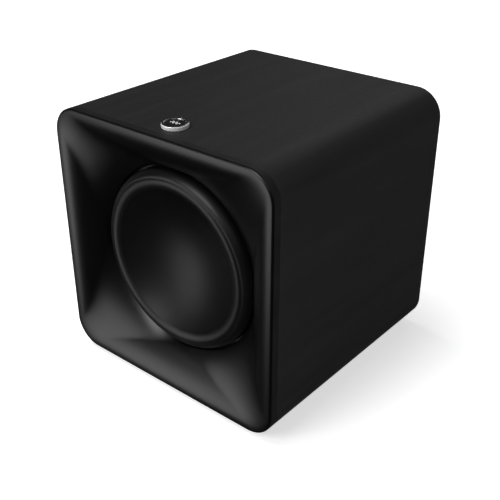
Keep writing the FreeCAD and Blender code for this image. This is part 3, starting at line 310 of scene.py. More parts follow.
def makeFinish(name, ownValues):
    # A colour that drifts between two tones, with grain, rubbed edges, dust on top and a bumped normal
    finish = {**plainFinish, **ownValues}
    material = bpy.data.materials.new(name)
    material.use_nodes = True
    tree = material.node_tree
    shader = tree.nodes["Principled BSDF"]
    for label, key in (("Metallic", "metal"), ("Specular IOR Level", "specular"), ("Coat Weight", "coat"),
                       ("Coat Roughness", "coatRoughness"), ("Sheen Weight", "sheen"),
                       ("Transmission Weight", "clear")):
        if key in finish:
            shader.inputs[label].default_value = finish[key]
    broad = placeGroup(tree, mouldGrain, {
        "Scale": finish["broadScale"], "Depth": finish["broadDepth"], "Stretch": finish["broadStretch"],
        "Detail": 6.0})
    fine = placeGroup(tree, mouldGrain, {
        "Scale": finish["grainScale"], "Depth": finish["grainDepth"], "Stretch": finish["grainStretch"],
        "Detail": 2.0})
    drift = addNode(tree, "ShaderNodeMapRange", {"clamp": True}, {"From Min": 0.3, "From Max": 0.7})
    tone = addNode(tree, "ShaderNodeMix", {"data_type": "RGBA"}, {
        "A": (*finish["dark"], 1.0), "B": (*finish["light"], 1.0)})
    rough = addNode(tree, "ShaderNodeMapRange", {"clamp": True}, {
        "From Min": 0.25, "From Max": 0.75, "To Min": finish["rough"][0], "To Max": finish["rough"][1]})
    edge = placeGroup(tree, rubbedEdge, {"Amount": finish["rubbed"], "Worn": (*finish["worn"], 1)})
    dust = placeGroup(tree, settledDust, {"Amount": finish["dust"]})
    shape = addNode(tree, "ShaderNodeNewGeometry")
    link = tree.links.new
    link(shape.outputs["Normal"], broad.inputs["Normal"])
    link(broad.outputs["Value"], drift.inputs["Value"])
    link(drift.outputs["Result"], tone.inputs["Factor"])
    link(tone.outputs["Result"], edge.inputs["Colour"])
    link(edge.outputs["Colour"], dust.inputs["Colour"])
    link(fine.outputs["Value"], rough.inputs["Value"])
    link(rough.outputs["Result"], dust.inputs["Roughness"])
    link(dust.outputs["Colour"], shader.inputs["Base Color"])
    link(dust.outputs["Roughness"], shader.inputs["Roughness"])
    link(broad.outputs["Normal"], fine.inputs["Normal"])
    link(fine.outputs["Normal"], shader.inputs["Normal"])
    return material


finishes = {
    "cabinetVinyl": {"dark": (0.0138, 0.0138, 0.0143), "light": (0.0175, 0.0175, 0.018),
                     "rough": (0.42, 0.55), "specular": 0.12, "broadScale": 60,
                     "broadStretch": (1.0, 0.06, 1.0), "broadDepth": 0.00003, "grainScale": 1400,
                     "grainStretch": (1, 0.12, 1), "grainDepth": 0.00003, "dust": 0.04,
                     "rubbed": 0.2, "worn": (0.03, 0.03, 0.031)},
    # The bezel's two finishes are shaded and lit copies of one moulded plastic: the horn's darker copy is
    # painted shade for its shaded throat, and the outer side's lighter copy is painted light
    "bezelPlasticShaded": {"dark": (0.0004, 0.0004, 0.0005), "light": (0.0007, 0.0007, 0.0008),
                     "rough": (0.32, 0.38), "broadScale": 30, "grainScale": 2600, "grainDepth": 0.000012,
                     "dust": 0.008, "rubbed": 0.1, "worn": (0.012, 0.012, 0.0125)},
    "bezelSideLit": {"dark": (0.0085, 0.0085, 0.0088), "light": (0.0115, 0.0115, 0.012),
                  "rough": (0.45, 0.55), "specular": 0.2, "broadScale": 30, "grainScale": 2200,
                  "grainDepth": 0.00002, "dust": 0.02, "rubbed": 0.2, "worn": (0.02, 0.02, 0.0205)},
    "rollRubber": {"dark": (0.0022, 0.0022, 0.0024), "light": (0.0034, 0.0034, 0.0036),
                   "rough": (0.36, 0.44), "specular": 0.33, "grainScale": 1800, "grainDepth": 0.00002,
                   "dust": 0.03},
    "dishSkin": {"dark": (0.0016, 0.0016, 0.0017), "light": (0.0024, 0.0024, 0.0026),
                 "rough": (0.4, 0.46), "specular": 0.27, "grainScale": 1500, "grainDepth": 0.000015,
                 "dust": 0.02},
    "badgeChrome": {"dark": (0.72, 0.72, 0.74), "light": (0.8, 0.8, 0.82), "rough": (0.06, 0.12),
                    "metal": 1.0, "grainScale": 900, "grainDepth": 0.000002},
    # The chrome ring's side copy is whiter and less metallic: painted light for the bright reflection on that
    # side
    "badgeSideLit": {"dark": (0.82, 0.82, 0.83), "light": (0.9, 0.9, 0.91), "rough": (0.2, 0.28),
                  "metal": 0.25, "grainScale": 900, "grainDepth": 0.000002},
    "badgeGloss": {"dark": (0.006, 0.006, 0.007), "light": (0.008, 0.008, 0.009), "rough": (0.06, 0.1),
                   "grainScale": 700, "grainDepth": 0.000002, "coat": 0.6, "coatRoughness": 0.04},
    "badgeMark": {"dark": (0.75, 0.75, 0.76), "light": (0.82, 0.82, 0.83), "rough": (0.25, 0.35)},
    "rawMdf": {"dark": (0.27, 0.17, 0.09), "light": (0.4, 0.27, 0.16), "rough": (0.75, 0.9),
               "broadScale": 220, "grainScale": 900, "grainDepth": 0.0001},
    "backVinyl": {"dark": (0.012, 0.012, 0.0125), "light": (0.02, 0.02, 0.021), "rough": (0.55, 0.7),
                  "broadScale": 160, "broadStretch": (1, 1, 0.08), "broadDepth": 0.00005,
                  "grainScale": 1600, "grainDepth": 0.00003, "dust": 0.2},
    "blackNylon": {"dark": (0.014, 0.014, 0.015), "light": (0.02, 0.02, 0.021), "rough": (0.4, 0.55),
                   "grainScale": 2000, "grainDepth": 0.00002, "rubbed": 0.5, "worn": (0.06, 0.06, 0.06)},
    "footRubber": {"dark": (0.015, 0.015, 0.015), "light": (0.024, 0.024, 0.024), "rough": (0.7, 0.85),
                   "grainScale": 900, "grainDepth": 0.00006},
    "sealFoam": {"dark": (0.014, 0.014, 0.015), "light": (0.03, 0.03, 0.031), "rough": (0.85, 0.95),
                 "grainScale": 800, "grainDepth": 0.00015},
    "conePaper": {"dark": (0.022, 0.022, 0.022), "light": (0.04, 0.039, 0.037), "rough": (0.8, 0.95),
                  "broadScale": 120, "grainScale": 700, "grainDepth": 0.00012, "sheen": 0.2},
    "formerFoil": {"dark": (0.6, 0.6, 0.62), "light": (0.75, 0.75, 0.77), "rough": (0.28, 0.4),
                   "metal": 1.0, "grainStretch": (1, 0.05, 1)},
    "copperWire": {"dark": (0.55, 0.22, 0.1), "light": (0.75, 0.34, 0.17), "rough": (0.25, 0.35),
                   "metal": 1.0, "grainScale": 1200, "grainStretch": (0.05, 1, 0.05), "grainDepth": 0.0001},
    "spiderCloth": {"dark": (0.3, 0.19, 0.06), "light": (0.42, 0.29, 0.1), "rough": (0.8, 0.95),
                    "grainScale": 1100, "grainDepth": 0.00015, "sheen": 0.3},
    "blackSteel": {"dark": (0.012, 0.012, 0.013), "light": (0.018, 0.018, 0.019), "rough": (0.45, 0.6),
                   "grainScale": 1700, "grainDepth": 0.00004, "rubbed": 0.6, "worn": (0.12, 0.12, 0.12),
                   "dust": 0.15},
    "zincSteel": {"dark": (0.42, 0.42, 0.44), "light": (0.58, 0.58, 0.6), "rough": (0.3, 0.45),
                  "metal": 1.0, "broadScale": 90, "grainScale": 800, "grainDepth": 0.00002},
    "screwBlack": {"dark": (0.03, 0.03, 0.032), "light": (0.05, 0.05, 0.052), "rough": (0.35, 0.5),
                   "metal": 0.8, "rubbed": 0.7, "worn": (0.25, 0.25, 0.26)},
    "ferriteBlock": {"dark": (0.04, 0.04, 0.042), "light": (0.065, 0.064, 0.066), "rough": (0.55, 0.7),
                     "broadScale": 70, "grainScale": 900, "grainDepth": 0.00005, "rubbed": 0.6,
                     "worn": (0.16, 0.15, 0.15)},
    "tinBrass": {"dark": (0.62, 0.56, 0.4), "light": (0.76, 0.7, 0.52), "rough": (0.2, 0.32), "metal": 1.0},
    "goldPlate": {"dark": (0.72, 0.52, 0.2), "light": (0.83, 0.63, 0.28), "rough": (0.12, 0.2), "metal": 1.0},
    "wirePvc": {"dark": (0.38, 0.012, 0.012), "light": (0.5, 0.03, 0.025), "rough": (0.4, 0.5)},
    "boardGreen": {"dark": (0.008, 0.09, 0.035), "light": (0.02, 0.16, 0.06), "rough": (0.3, 0.45),
                   "broadScale": 260, "grainScale": 900, "grainDepth": 0.00003, "coat": 0.3,
                   "coatRoughness": 0.2},
    "coreFerrite": {"dark": (0.03, 0.03, 0.032), "light": (0.06, 0.06, 0.062), "rough": (0.5, 0.65)},
    "canSleeve": {"dark": (0.008, 0.012, 0.035), "light": (0.014, 0.02, 0.055), "rough": (0.15, 0.25)},
    "sinkAluminium": {"dark": (0.55, 0.55, 0.57), "light": (0.68, 0.68, 0.7), "rough": (0.35, 0.5),
                      "metal": 1.0, "broadStretch": (1, 0.05, 1), "grainStretch": (1, 0.05, 1)},
    "markWhite": {"dark": (0.6, 0.6, 0.6), "light": (0.7, 0.7, 0.7), "rough": (0.6, 0.7)},
    "ledLens": {"dark": (0.75, 0.8, 0.85), "light": (0.8, 0.85, 0.9), "rough": (0.1, 0.16), "clear": 0.6},
}
made = {name: makeFinish(name, finish) for name, finish in finishes.items()}
print("finishes made:", len(made))


# Front frame: rim, flared horn and throat in one closed skin, with the tongue and bosses behind it

horn = {"corner": 0.035, "rim": 0.0085, "outerRound": 0.003, "seamRound": 0.0006,
        "mouthTilt": 20.0, "throatTilt": 78.0, "cornerEase": 1.8, "blendOut": 0.003, "blendIn": 0.024,
        "samples": 400, "throatRadius": 0.117, "throatDepth": 0.033, "throatRound": 0.0005,
        "throatWall": 0.0035, "wall": 0.0032, "tongueHalf": 0.1497, "tongueCorner": 0.0197,
        "tongueWall": 0.0035, "tongueFrom": 0.0055, "tongueInnerFrom": 0.0075, "tongueReach": 0.021,
        "bossAcross": 0.128, "bossRadius": 0.006, "bossFrom": 0.0075, "sideFacing": 0.3,
        "around": 384, "tongueAround": 192, "bossAround": 32, "along": 44, "blendAlong": 14}


def hornWall(share, offset):
    # The tilt runs evenly from mouth to throat; half width follows its sine and depth its cosine, and the
    # corner radius follows a power of the way in. The wall's back is the same curve moved along its normal
    first, last = math.radians(horn["mouthTilt"]), math.radians(horn["throatTilt"])
    tilt = first + (last - first) * share
    inward = (np.sin(tilt) - math.sin(first)) / (math.sin(last) - math.sin(first))
    back = (math.cos(first) - np.cos(tilt)) / (math.cos(first) - math.cos(last))
    mouth = halfWidth - horn["rim"]
    mouthCorner = horn["corner"] - horn["rim"]
    half = mouth - (mouth - horn["throatRadius"]) * inward
    corner = mouthCorner + (horn["throatRadius"] - mouthCorner) * inward ** horn["cornerEase"]
    slope = np.arctan2(horn["throatDepth"] * np.sin(tilt) / (math.cos(first) - math.cos(last)),
                       (mouth - horn["throatRadius"]) * np.cos(tilt) / (math.sin(last) - math.sin(first)))
    spread = offset * np.sin(slope)
    depth = horn["throatDepth"] * back + offset * np.cos(slope)
    return np.stack([half + spread, corner + spread, depth], -1)


def insetRows(points):
    # (half width, depth) points on the square part, whose corner shrinks with the half width
    return np.stack([points[:, 0], horn["corner"] - (halfWidth - points[:, 0]), points[:, 1]], -1)


def roundRows(points):
    # (radius, depth) points on the round part: the corner radius is the whole half width
    return np.stack([points[:, 0], points[:, 0], points[:, 1]], -1)


def mouthBlend():
    # A cubic leaves the flat rim level and joins the horn with the horn's own slope; the corner radius
    # shrinks with the half width on the rim and grows towards the throat inside it
    mouth, rimCorner = halfWidth - horn["rim"], horn["corner"] - horn["rim"]
    inside = hornWall(np.linspace(0, 1, horn["samples"]), 0.0)
    joint = int(np.argmax(inside[:, 0] < mouth - horn["blendIn"]))
    slope = (inside[joint + 1, 2] - inside[joint - 1, 2]) / (inside[joint + 1, 0] - inside[joint - 1, 0])
    start, end = mouth + horn["blendOut"], inside[joint, 0]
    u = np.linspace(0, 1, horn["blendAlong"])
    half = start + (end - start) * u
    depth = inside[joint, 2] * (3 * u ** 2 - 2 * u ** 3) + (end - start) * slope * (u ** 3 - u ** 2)
    inward = np.clip((mouth - half) / (mouth - horn["throatRadius"]), 0, 1) ** horn["cornerEase"]
    corner = np.where(half > mouth, horn["corner"] - (halfWidth - half),
                      rimCorner + (horn["throatRadius"] - rimCorner) * inward)
    return np.stack([half, corner, depth], -1), joint / (horn["samples"] - 1)


def makeBezel():
    w, f, s = halfWidth, horn["outerRound"], horn["seamRound"]
    throat, wall, e = horn["throatRadius"], horn["wall"], horn["throatRound"]
    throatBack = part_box("throat_gasket")[0][1] - frontY
    lead, joint = mouthBlend()
    front = np.concatenate([
        run((w - wall, lipDepth), (w - s, lipDepth)),
        arc((w - s, lipDepth - s), (s, s), 90, 0, 5)[1:],
        run((w, lipDepth - s), (w, f), 6)[1:],
        arc((w - f, f), (f, f), 0, -90, 10)[1:],
        run((w - f, 0), (lead[0, 0], 0), 4)[1:-1]])
    share = np.linspace(0, 1, horn["along"])
    inside = np.concatenate([lead, hornWall(joint + (1 - joint) * share, 0.0)[1:]])
    bore = np.concatenate([run((throat, horn["throatDepth"]), (throat, throatBack - e), 5)[1:],
                           arc((throat + e, throatBack - e), (e, e), 180, 90, 4)[1:],
                           run((throat + e, throatBack), (throat + horn["throatWall"], throatBack))[1:]])
    behind = np.concatenate([hornWall(share[::-1], wall), [[w - wall, horn["corner"] - wall, wall]]])
    rows = np.concatenate([insetRows(front), inside, roundRows(bore), behind])
    skin = squareRings(rows[:, 0], rows[:, 1], rows[:, 2], horn["around"])
    t, c, q = horn["tongueHalf"], horn["tongueCorner"], horn["tongueWall"]
    half = np.array([t, t, t - q, t - q])
    depth = np.array([horn["tongueFrom"], horn["tongueReach"], horn["tongueReach"], horn["tongueInnerFrom"]])
    tongue = squareRings(half, c - (t - half), depth, horn["tongueAround"])
    grids = [(skin, True), (tongue, True)]
    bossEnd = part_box("front_baffle")[0][1] - frontY
    bossStart, r = horn["bossFrom"], horn["bossRadius"]
    boss = np.array([(0, bossStart), (r, bossStart), (r, bossEnd), (0, bossEnd)])
    for x in (-horn["bossAcross"], horn["bossAcross"]):
        for z in (-horn["bossAcross"], horn["bossAcross"]):
            grids.append((turned(boss, horn["bossAround"], x, z), False))
    piece = makePiece("hornFrame", grids, made["bezelPlasticShaded"], 50)
    # The outer side has a rougher texture and a lighter copy of the plastic, painted light for how that side
    # catches the light: its faces lie furthest from the axis and don't look forwards
    normals, centres = faceFacts(piece)
    outside = np.hypot(centres[:, 0], centres[:, 2] - axisZ) > np.hypot(w, w) - horn["corner"]
    outside |= np.maximum(np.abs(centres[:, 0]), np.abs(centres[:, 2] - axisZ)) > w - s
    giveFaces(piece, made["bezelSideLit"], outside & (np.abs(normals[:, 1]) < horn["sideFacing"]))
    settle(piece, "cabinet", "bezel_plastic", "horn_bezel")


makeBezel()
print("front frame made")


# Cabinet: one wrapped shell, open at the front and back, with softened edges

shell = {"wall": 0.015, "edgeRound": 0.0008, "around": 320}


def makeShell():
    w, t, e = halfWidth, shell["wall"], shell["edgeRound"]
    deep = backY - frontY
    rows = np.concatenate([
        run((w - t, lipDepth), (w - e, lipDepth)),
        arc((w - e, lipDepth + e), (e, e), -90, 0, 5)[1:],
        run((w, lipDepth + e), (w, deep - e), 24)[1:],
        arc((w - e, deep - e), (e, e), 0, 90, 5)[1:],
        run((w - e, deep), (w - t + e, deep))[1:],
        arc((w - t + e, deep - e), (e, e), 90, 180, 4)[1:],
        run((w - t, deep - e), (w - t, lipDepth), 8)[1:-1]])
    rows = insetRows(rows)
    grid = squareRings(rows[:, 0], rows[:, 1], rows[:, 2], shell["around"])
    piece = makePiece("cabinetWrap", [(grid, True)], made["cabinetVinyl"], 50)
    settle(piece, "cabinet", "cabinet_vinyl", "cabinet_shell")


makeShell()
print("cabinet made")


# Driver front: half-roll surround and one-piece dish

roll = {"crest": 0.100, "crestDepth": 0.0204, "half": 0.014, "inner": 0.009, "outerLeg": 0.034,
        "rubber": 0.002, "landWidth": 0.0085, "landDepth": 0.0454, "land": 0.0016, "innerLand": 0.004,
        "innerLandDepth": 0.0298, "slope": math.radians(40.0), "seam": 0.00015, "dishSkin": 0.0016,
        "dishSeat": 0.001, "dishAlong": 48,
        "groove": 0.0006, "grooveRadius": 0.1048, "grooveWidth": 0.0018, "around": 288}


def flankRows(drop, fromR, toR, steps):
    # Inner flank: a circle that is level at the crest and has the dish's slope where the dish begins
    ball = roll["inner"] / math.sin(roll["slope"])
    r = np.linspace(fromR, toR, steps)
    depth = roll["crestDepth"] + drop + ball - np.sqrt(ball ** 2 - (roll["crest"] - r) ** 2)
    return np.stack([r, depth], -1)


def grooved(rows):
    # A shallow moulded line outside the crest: a bell curve of the radius pushes the surface back
    sunk = roll["groove"] * np.exp(-((rows[:, 0] - roll["grooveRadius"]) / roll["grooveWidth"]) ** 2)
    return np.stack([rows[:, 0], rows[:, 1] + sunk], -1)


def makeSurround():
    c, h, n, t = roll["crest"], roll["half"], roll["inner"], roll["rubber"]
    top, outer = roll["crestDepth"], roll["outerLeg"]
    back = roll["landDepth"] + roll["land"]
    shelf = roll["innerLandDepth"]
    ledge = c - n - roll["innerLand"]
    rim = c + h + roll["landWidth"]
    outline = np.concatenate([
        run((rim, back), (rim, roll["landDepth"])),
        run((rim, roll["landDepth"]), (c + h, roll["landDepth"]))[1:],
        run((c + h, roll["landDepth"]), (c + h, outer), 9)[1:],
        grooved(arc((c, outer), (h, top - outer), 0, 90, 60)[1:]),
        flankRows(0.0, c, c - n, 24)[1:],
        run(flankRows(0.0, c, c - n, 2)[1], (c - n, shelf), 3)[1:],
        run((c - n, shelf), (ledge, shelf))[1:],
        run((ledge, shelf), (ledge, shelf + roll["land"]))[1:],
        run((ledge, shelf + roll["land"]), (c - n + t, shelf + roll["land"]))[1:],
        flankRows(t, c - n + t, c, 14),
        arc((c, outer), (h - t, top + t - outer), 90, 0, 14)[1:],
        run((c + h - t, outer), (c + h - t, back), 9)[1:]])
    piece = makePiece("rubberSurround", [(turned(outline, roll["around"]), True)], made["rollRubber"], 40)
    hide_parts("surround")
    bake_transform(piece)


def bowlRows(r, drop):
    # Ball-shaped bowl whose radius and middle follow from the slope it has at the roll's inner edge
    edge, slope = roll["crest"] - roll["inner"], roll["slope"]
    ball = edge / math.sin(slope)
    middle = flankRows(0.0, roll["crest"], edge, 2)[1, 1] + edge * math.tan(slope / 2) + drop
    return np.stack([r, middle - ball + np.sqrt(ball ** 2 - r ** 2)], -1)


def makeDish():
    edge = roll["crest"] - roll["inner"] - roll["seam"]
    r = edge * np.sin(np.linspace(0, np.pi / 2, roll["dishAlong"]))
    front, behind = bowlRows(r, 0.0), bowlRows(r[::-1], roll["dishSkin"])
    behind = behind[behind[:, 1] > roll["innerLandDepth"]]
    seat = [(edge, roll["innerLandDepth"]), (behind[0, 0] + roll["dishSeat"], roll["innerLandDepth"])]
    outline = np.concatenate([front, seat, behind])
    piece = makePiece("dishFront", [(turned(outline, roll["around"]), False)], made["dishSkin"], 40)
    settle(piece, "cone", "dish_skin", "dish")


makeSurround()
makeDish()
print("surround and dish made")


# Badge on top: chrome ring, gloss disc and a plain wave mark

badge = {"ring": 0.0155, "well": 0.0126, "height": 0.005, "floor": 0.0016, "stem": 0.003,
         "stemLength": 0.009, "round": 0.0006, "topRound": 0.0012, "sideDepth": 0.0013, "sideFacing": 0.8,
         "gap": 0.0001, "sunk": 0.0008, "discEdge": 0.0003, "dome": 0.0005, "waves": 3, "waveHalf": 0.0072,
         "waveHeight": 0.0028, "markWidth": 0.0009, "markProud": 0.00012, "markSunk": 0.0001,
         "ringAround": 128, "discAround": 96}


def makeBadge():
    low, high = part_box("badge_ring")
    x, y, base = (low[0] + high[0]) / 2, (low[1] + high[1]) / 2, topZ
    r, well, stem = badge["ring"], badge["well"], badge["stem"]
    e, f, rim = badge["round"], badge["topRound"], base + badge["height"]
    floor, stemEnd = base + badge["floor"], base - badge["stemLength"]
    ringRows = np.concatenate([
        [(0, stemEnd), (stem, stemEnd), (stem, base), (r - e, base)],
        arc((r - e, base + e), (e, e), -90, 0, 5)[1:],
        run((r, base + e), (r, rim - f), 4)[1:],
        arc((r - f, rim - f), (f, f), 0, 90, 8)[1:],
        arc((well + e, rim - e), (e, e), 90, 180, 6),
        [(well, floor), (0, floor)]])
    ringGrid = turnedUpright(ringRows, badge["ringAround"], x, y)
    ring = makePiece("badgeRim", [(ringGrid, False)], made["badgeChrome"], 40)
    # The ring's outer side is brighter, a whiter and less metallic copy of the chrome that is painted light
    # for the reflection on that side: its faces stand upright above the cabinet, near the full radius
    normals, centres = faceFacts(ring)
    upright = (np.abs(normals[:, 2]) < badge["sideFacing"]) & (centres[:, 2] > base)
    outer = np.hypot(centres[:, 0] - x, centres[:, 1] - y) > r - badge["sideDepth"]
    giveFaces(ring, made["badgeSideLit"], upright & outer)
    settle(ring, "cabinet", "badge_chrome", "badge_ring")
    # The disc's face is a shallow dome whose height falls with the square of the radius
    face = well - badge["gap"]
    top = rim - badge["sunk"]
    r = face * np.linspace(1, 0, 14)
    atEdge = np.arange(len(r)) == 0
    domed = np.stack([r - badge["discEdge"] * atEdge, top + badge["dome"] * (1 - (r / face) ** 2)], -1)
    discRows = np.concatenate([[(0, floor), (face, floor), (face, top - badge["discEdge"])], domed])
    discGrid = turnedUpright(discRows, badge["discAround"], x, y)
    disc = makePiece("badgeFace", [(discGrid, False)], made["badgeGloss"], 40)
    settle(disc, "cabinet", "badge_black", "badge_insert")
    # The mark is a flat band whose middle follows a sine that fades at its ends
    u = np.linspace(-1, 1, 81)
    wave = badge["waveHeight"] * np.sin(badge["waves"] * np.pi * u) * np.cos(u * np.pi / 2) ** 0.5
    slope = np.gradient(wave, u * badge["waveHalf"])
    length = np.sqrt(1 + slope ** 2)
    taper = badge["markWidth"] / 2 * np.clip((1 - np.abs(u)) * 12, 0.02, 1)
    middle = np.stack([u * badge["waveHalf"], wave], -1)
    side = np.stack([-slope / length, 1 / length], -1) * taper[:, None]
    lift = top + badge["dome"] * (1 - (np.hypot(*middle.T) / face) ** 2)
    below, above = -badge["markSunk"], badge["markProud"]
    band = np.stack([np.stack([x + (middle + k * side)[:, 0], y + (middle + k * side)[:, 1], lift + z], -1)
                     for k, z in ((1, below), (1, above), (-1, above), (-1, below))], 1)
    first, last = (end.mean(1, keepdims=True).repeat(4, 1) for end in (band[:1], band[-1:]))
    mark = makePiece("badgeWave", [(np.concatenate([first, band, last]), False)], made["badgeMark"], 30)
    settle(mark, "cabinet", "badge_chrome")


makeBadge()
print("badge made")


# Rear: flared port, ribbed knobs, dial ticks

port = {"bore": 0.032, "wall": 0.003, "flare": 0.009, "lip": 0.009, "edge": 0.0008, "around": 160}
knob = {"ribs": 30, "ribDepth": 0.0006, "ribReach": 0.0018, "edge": 0.0012, "bevel": 0.0003, "step": 0.0004,
        "faceInset": 0.0026, "hollow": 0.0004, "skirt": 0.0012, "around": 360, "lineOut": 0.6,
        "lineHalf": 0.26, "lineWidth": 0.001, "lineThick": 0.0003, "lineSunk": 0.0001, "ticks": 11,
        "tickInner": 0.0112, "tickOuter": 0.0134, "tickWidth": 0.0006, "tickProud": 0.00012,
        "longTick": 1.35, "sweepDegrees": 300.0}


def makePort():
    low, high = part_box("port_tube")
    up = (low[2] + high[2]) / 2 - axisZ
    start, end = low[1] - frontY, high[1] - frontY
    b, t, f = port["bore"], port["wall"], port["flare"]
    lip, mouth, e = b + f + port["lip"], b + f, port["edge"]
    outline = np.concatenate([
        arc((mouth, end - f), (f, f), 90, 180, 14), run((b, end - f), (b, start + f), 12)[1:],
        arc((mouth, start + f), (f, f), 180, 270, 14)[1:],
        arc((mouth, start + t / 2), (t / 2, t / 2), -90, 90, 7)[1:],
        arc((mouth, start + f), (f - t, f - t), 270, 180, 10)[1:],
        run((b + t, start + f), (b + t, end - f), 8)[1:],
        arc((mouth, end - f), (f - t, f - t), 180, 90, 10)[1:],
        run((mouth, end - t), (lip, end - t))[1:], run((lip, end - t), (lip, end - e))[1:],
        arc((lip - e, end - e), (e, e), 0, 90, 5)[1:], run((lip - e, end), (mouth, end), 3)[1:-1]])
    piece = makePiece("reflexPort", [(turned(outline, port["around"], 0, up), True)], made["blackNylon"], 40)
    settle(piece, "cabinet", "black_plastic", "port_tube")


def makeKnob(node, body, label):
    # Ribs are a raised cosine round the side, which fades out at the skirt and at the rounded top edge
    low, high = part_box(node)
    x, up = (low[0] + high[0]) / 2, (low[2] + high[2]) / 2 - axisZ
    y0, y1, r = low[1], high[1], (high[0] - low[0]) / 2
    e, bevel, skirt, side = knob["edge"], knob["bevel"], y0 + knob["skirt"], r - knob["step"]
    rows = np.concatenate([
        [(0, y0), (r - bevel, y0), (r, y0 + bevel), (r, skirt), (side, skirt)],
        run((side, skirt), (side, y1 - e), 6)[1:],
        arc((side - e, y1 - e), (e, e), 0, 90, 6)[1:],
        run((r - knob["faceInset"], y1), (0, y1 - knob["hollow"]), 6)])
    a = np.linspace(0, 2 * np.pi, knob["around"], endpoint=False)
    ribbed = ((rows[:, 1] > skirt - mergeDistance) & (rows[:, 0] > r - knob["ribReach"])).astype(float)
    cut = knob["ribDepth"] * ribbed[:, None] * (0.5 - 0.5 * np.cos(knob["ribs"] * a)) ** 2
    radius = rows[:, :1] - cut
    grid = np.stack([x + radius * np.cos(a), rows[:, 1:] + 0 * a, axisZ + up + radius * np.sin(a)], -1)
    settle(makePiece(label, [(grid, False)], made["blackNylon"], 45), body, "black_plastic", node)
    line = boxGrid((x, y1 - knob["lineSunk"], axisZ + up + r * knob["lineOut"]),
                   (knob["lineWidth"] / 2, knob["lineThick"] / 2, r * knob["lineHalf"]))
    settle(makePiece(label + "Line", [(line, False)], made["markWhite"], 30), body, "black_plastic")
    return x, up


def boxGrid(centre, half, turn=0.0):
    # A block as five rows of four points: a point, the near face, the far face and a point again
    c, s = math.cos(turn), math.sin(turn)
    corner = np.array([(-1, -1), (1, -1), (1, 1), (-1, 1)], float) * (half[0], half[2])
    spun = np.stack([corner[:, 0] * c - corner[:, 1] * s, corner[:, 0] * s + corner[:, 1] * c], -1)
    rows = [np.stack([k * spun[:, 0], np.full(4, d), k * spun[:, 1]], -1)
            for k, d in ((0, -half[1]), (1, -half[1]), (1, half[1]), (0, half[1]))]
    return np.stack(rows) + np.array(centre)


def makeTicks(name, x, up):
    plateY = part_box("amp_plate")[1][1]
    grids = []
    middle = (knob["tickInner"] + knob["tickOuter"]) / 2
    for i in range(knob["ticks"]):
        long = knob["longTick"] if i in (0, knob["ticks"] // 2, knob["ticks"] - 1) else 1.0
        angle = math.radians((i / (knob["ticks"] - 1) - 0.5) * knob["sweepDegrees"])
        place = (x + middle * math.sin(angle), plateY, axisZ + up + middle * math.cos(angle))
        reach = (knob["tickOuter"] - knob["tickInner"]) / 2 * long
        half = (knob["tickWidth"] / 2, knob["tickProud"], reach)
        grids.append((boxGrid(place, half, -angle), False))
    settle(makePiece(name, grids, made["markWhite"], 30), "cabinet", "black_steel")


makePort()
for node, body, label in (("gain_knob", "gain_control", "gainKnob"),
                          ("crossover_knob", "crossover_control", "crossoverKnob")):
    x, up = makeKnob(node, body, label)
    makeTicks(label + "Ticks", x, up)
print("rear made")


# Feet: rubber pads with a stepped side and a screw recess

foot = {"low": 0.014, "high": 0.016, "rimHeight": 0.0015, "stepDrop": 0.0019, "stepIn": 0.0006,
        "sideDrop": 0.002, "sideIn": 0.0007, "round": 0.001, "recess": 0.0054, "recessEdge": 0.0005,
        "recessHeight": 0.0035, "hole": 0.0023, "around": 64}


def makeFeet():
    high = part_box("rubber_feet")[1]
    tall, wide, narrow, e = high[2], foot["high"], foot["low"], foot["round"]
    hole, recess, edge = foot["hole"], foot["recess"], foot["recessEdge"]
    rows = np.concatenate([
        [(hole, tall), (wide, tall), (wide, tall - foot["rimHeight"])],
        [(wide - foot["stepIn"], tall - foot["stepDrop"])],
        run((wide - foot["sideIn"], tall - foot["sideDrop"]), (narrow, e), 4),
        arc((narrow - e, e), (e, e), 0, -90, 5)[1:],
        [(recess + edge, 0.0), (recess, edge), (recess, foot["recessHeight"]), (hole, foot["recessHeight"])]])
    reachX, reachY = high[0] - wide, high[1] - wide
    grids = [(turnedUpright(rows, foot["around"], x, y), True)
             for x in (-reachX, reachX) for y in (-reachY, reachY)]
    pads = makePiece("footPads", grids, made["footRubber"], 40)
    settle(pads, "cabinet", "foot_rubber", "rubber_feet")


makeFeet()
print("feet made")


# Suspension inside: corrugated spider and the two leads

spiderCup = {"waves": 5, "wave": 0.0026, "cloth": 0.0008, "drop": 0.010, "neckGap": 0.0003,
             "waveFrom": 0.0051, "waveTo": 0.008, "around": 180, "along": 90}


def makeSpider():
    # Depth drops evenly from neck to seat, plus a sine whose height swells and fades between them
    low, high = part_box("spider")
    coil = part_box("voice_coil_former")
    neckR = (coil[1][0] - coil[0][0]) / 2 + spiderCup["neckGap"]
    outerR = (high[0] - low[0]) / 2
    waveFrom, waveTo = neckR + spiderCup["waveFrom"], outerR - spiderCup["waveTo"]
    seat = high[1] - frontY - spiderCup["cloth"]
    neck = seat - spiderCup["drop"]
    share = np.linspace(0, 1, spiderCup["along"])
    wave = spiderCup["wave"] * np.sin(2 * np.pi * spiderCup["waves"] * share) * np.sin(np.pi * share)
    middle = np.stack([waveFrom + (waveTo - waveFrom) * share, neck + (seat - neck) * share + wave], -1)
    top = np.concatenate([[(neckR, neck)], middle, [(outerR, seat)]])
    outline = np.concatenate([top, top[::-1] + (0, spiderCup["cloth"])])
    piece = makePiece("spiderDisc", [(turned(outline, spiderCup["around"]), True)], made["spiderCloth"], 50)
    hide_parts("spider")
    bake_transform(piece)


lead = {"radius": 0.0009, "strands": 6, "twists": 14, "braid": 0.1, "taper": 400, "startIn": 0.0005,
        "endIn": 0.7, "bendShift": 0.001, "bendDrop": 0.006, "around": 24, "along": 220}


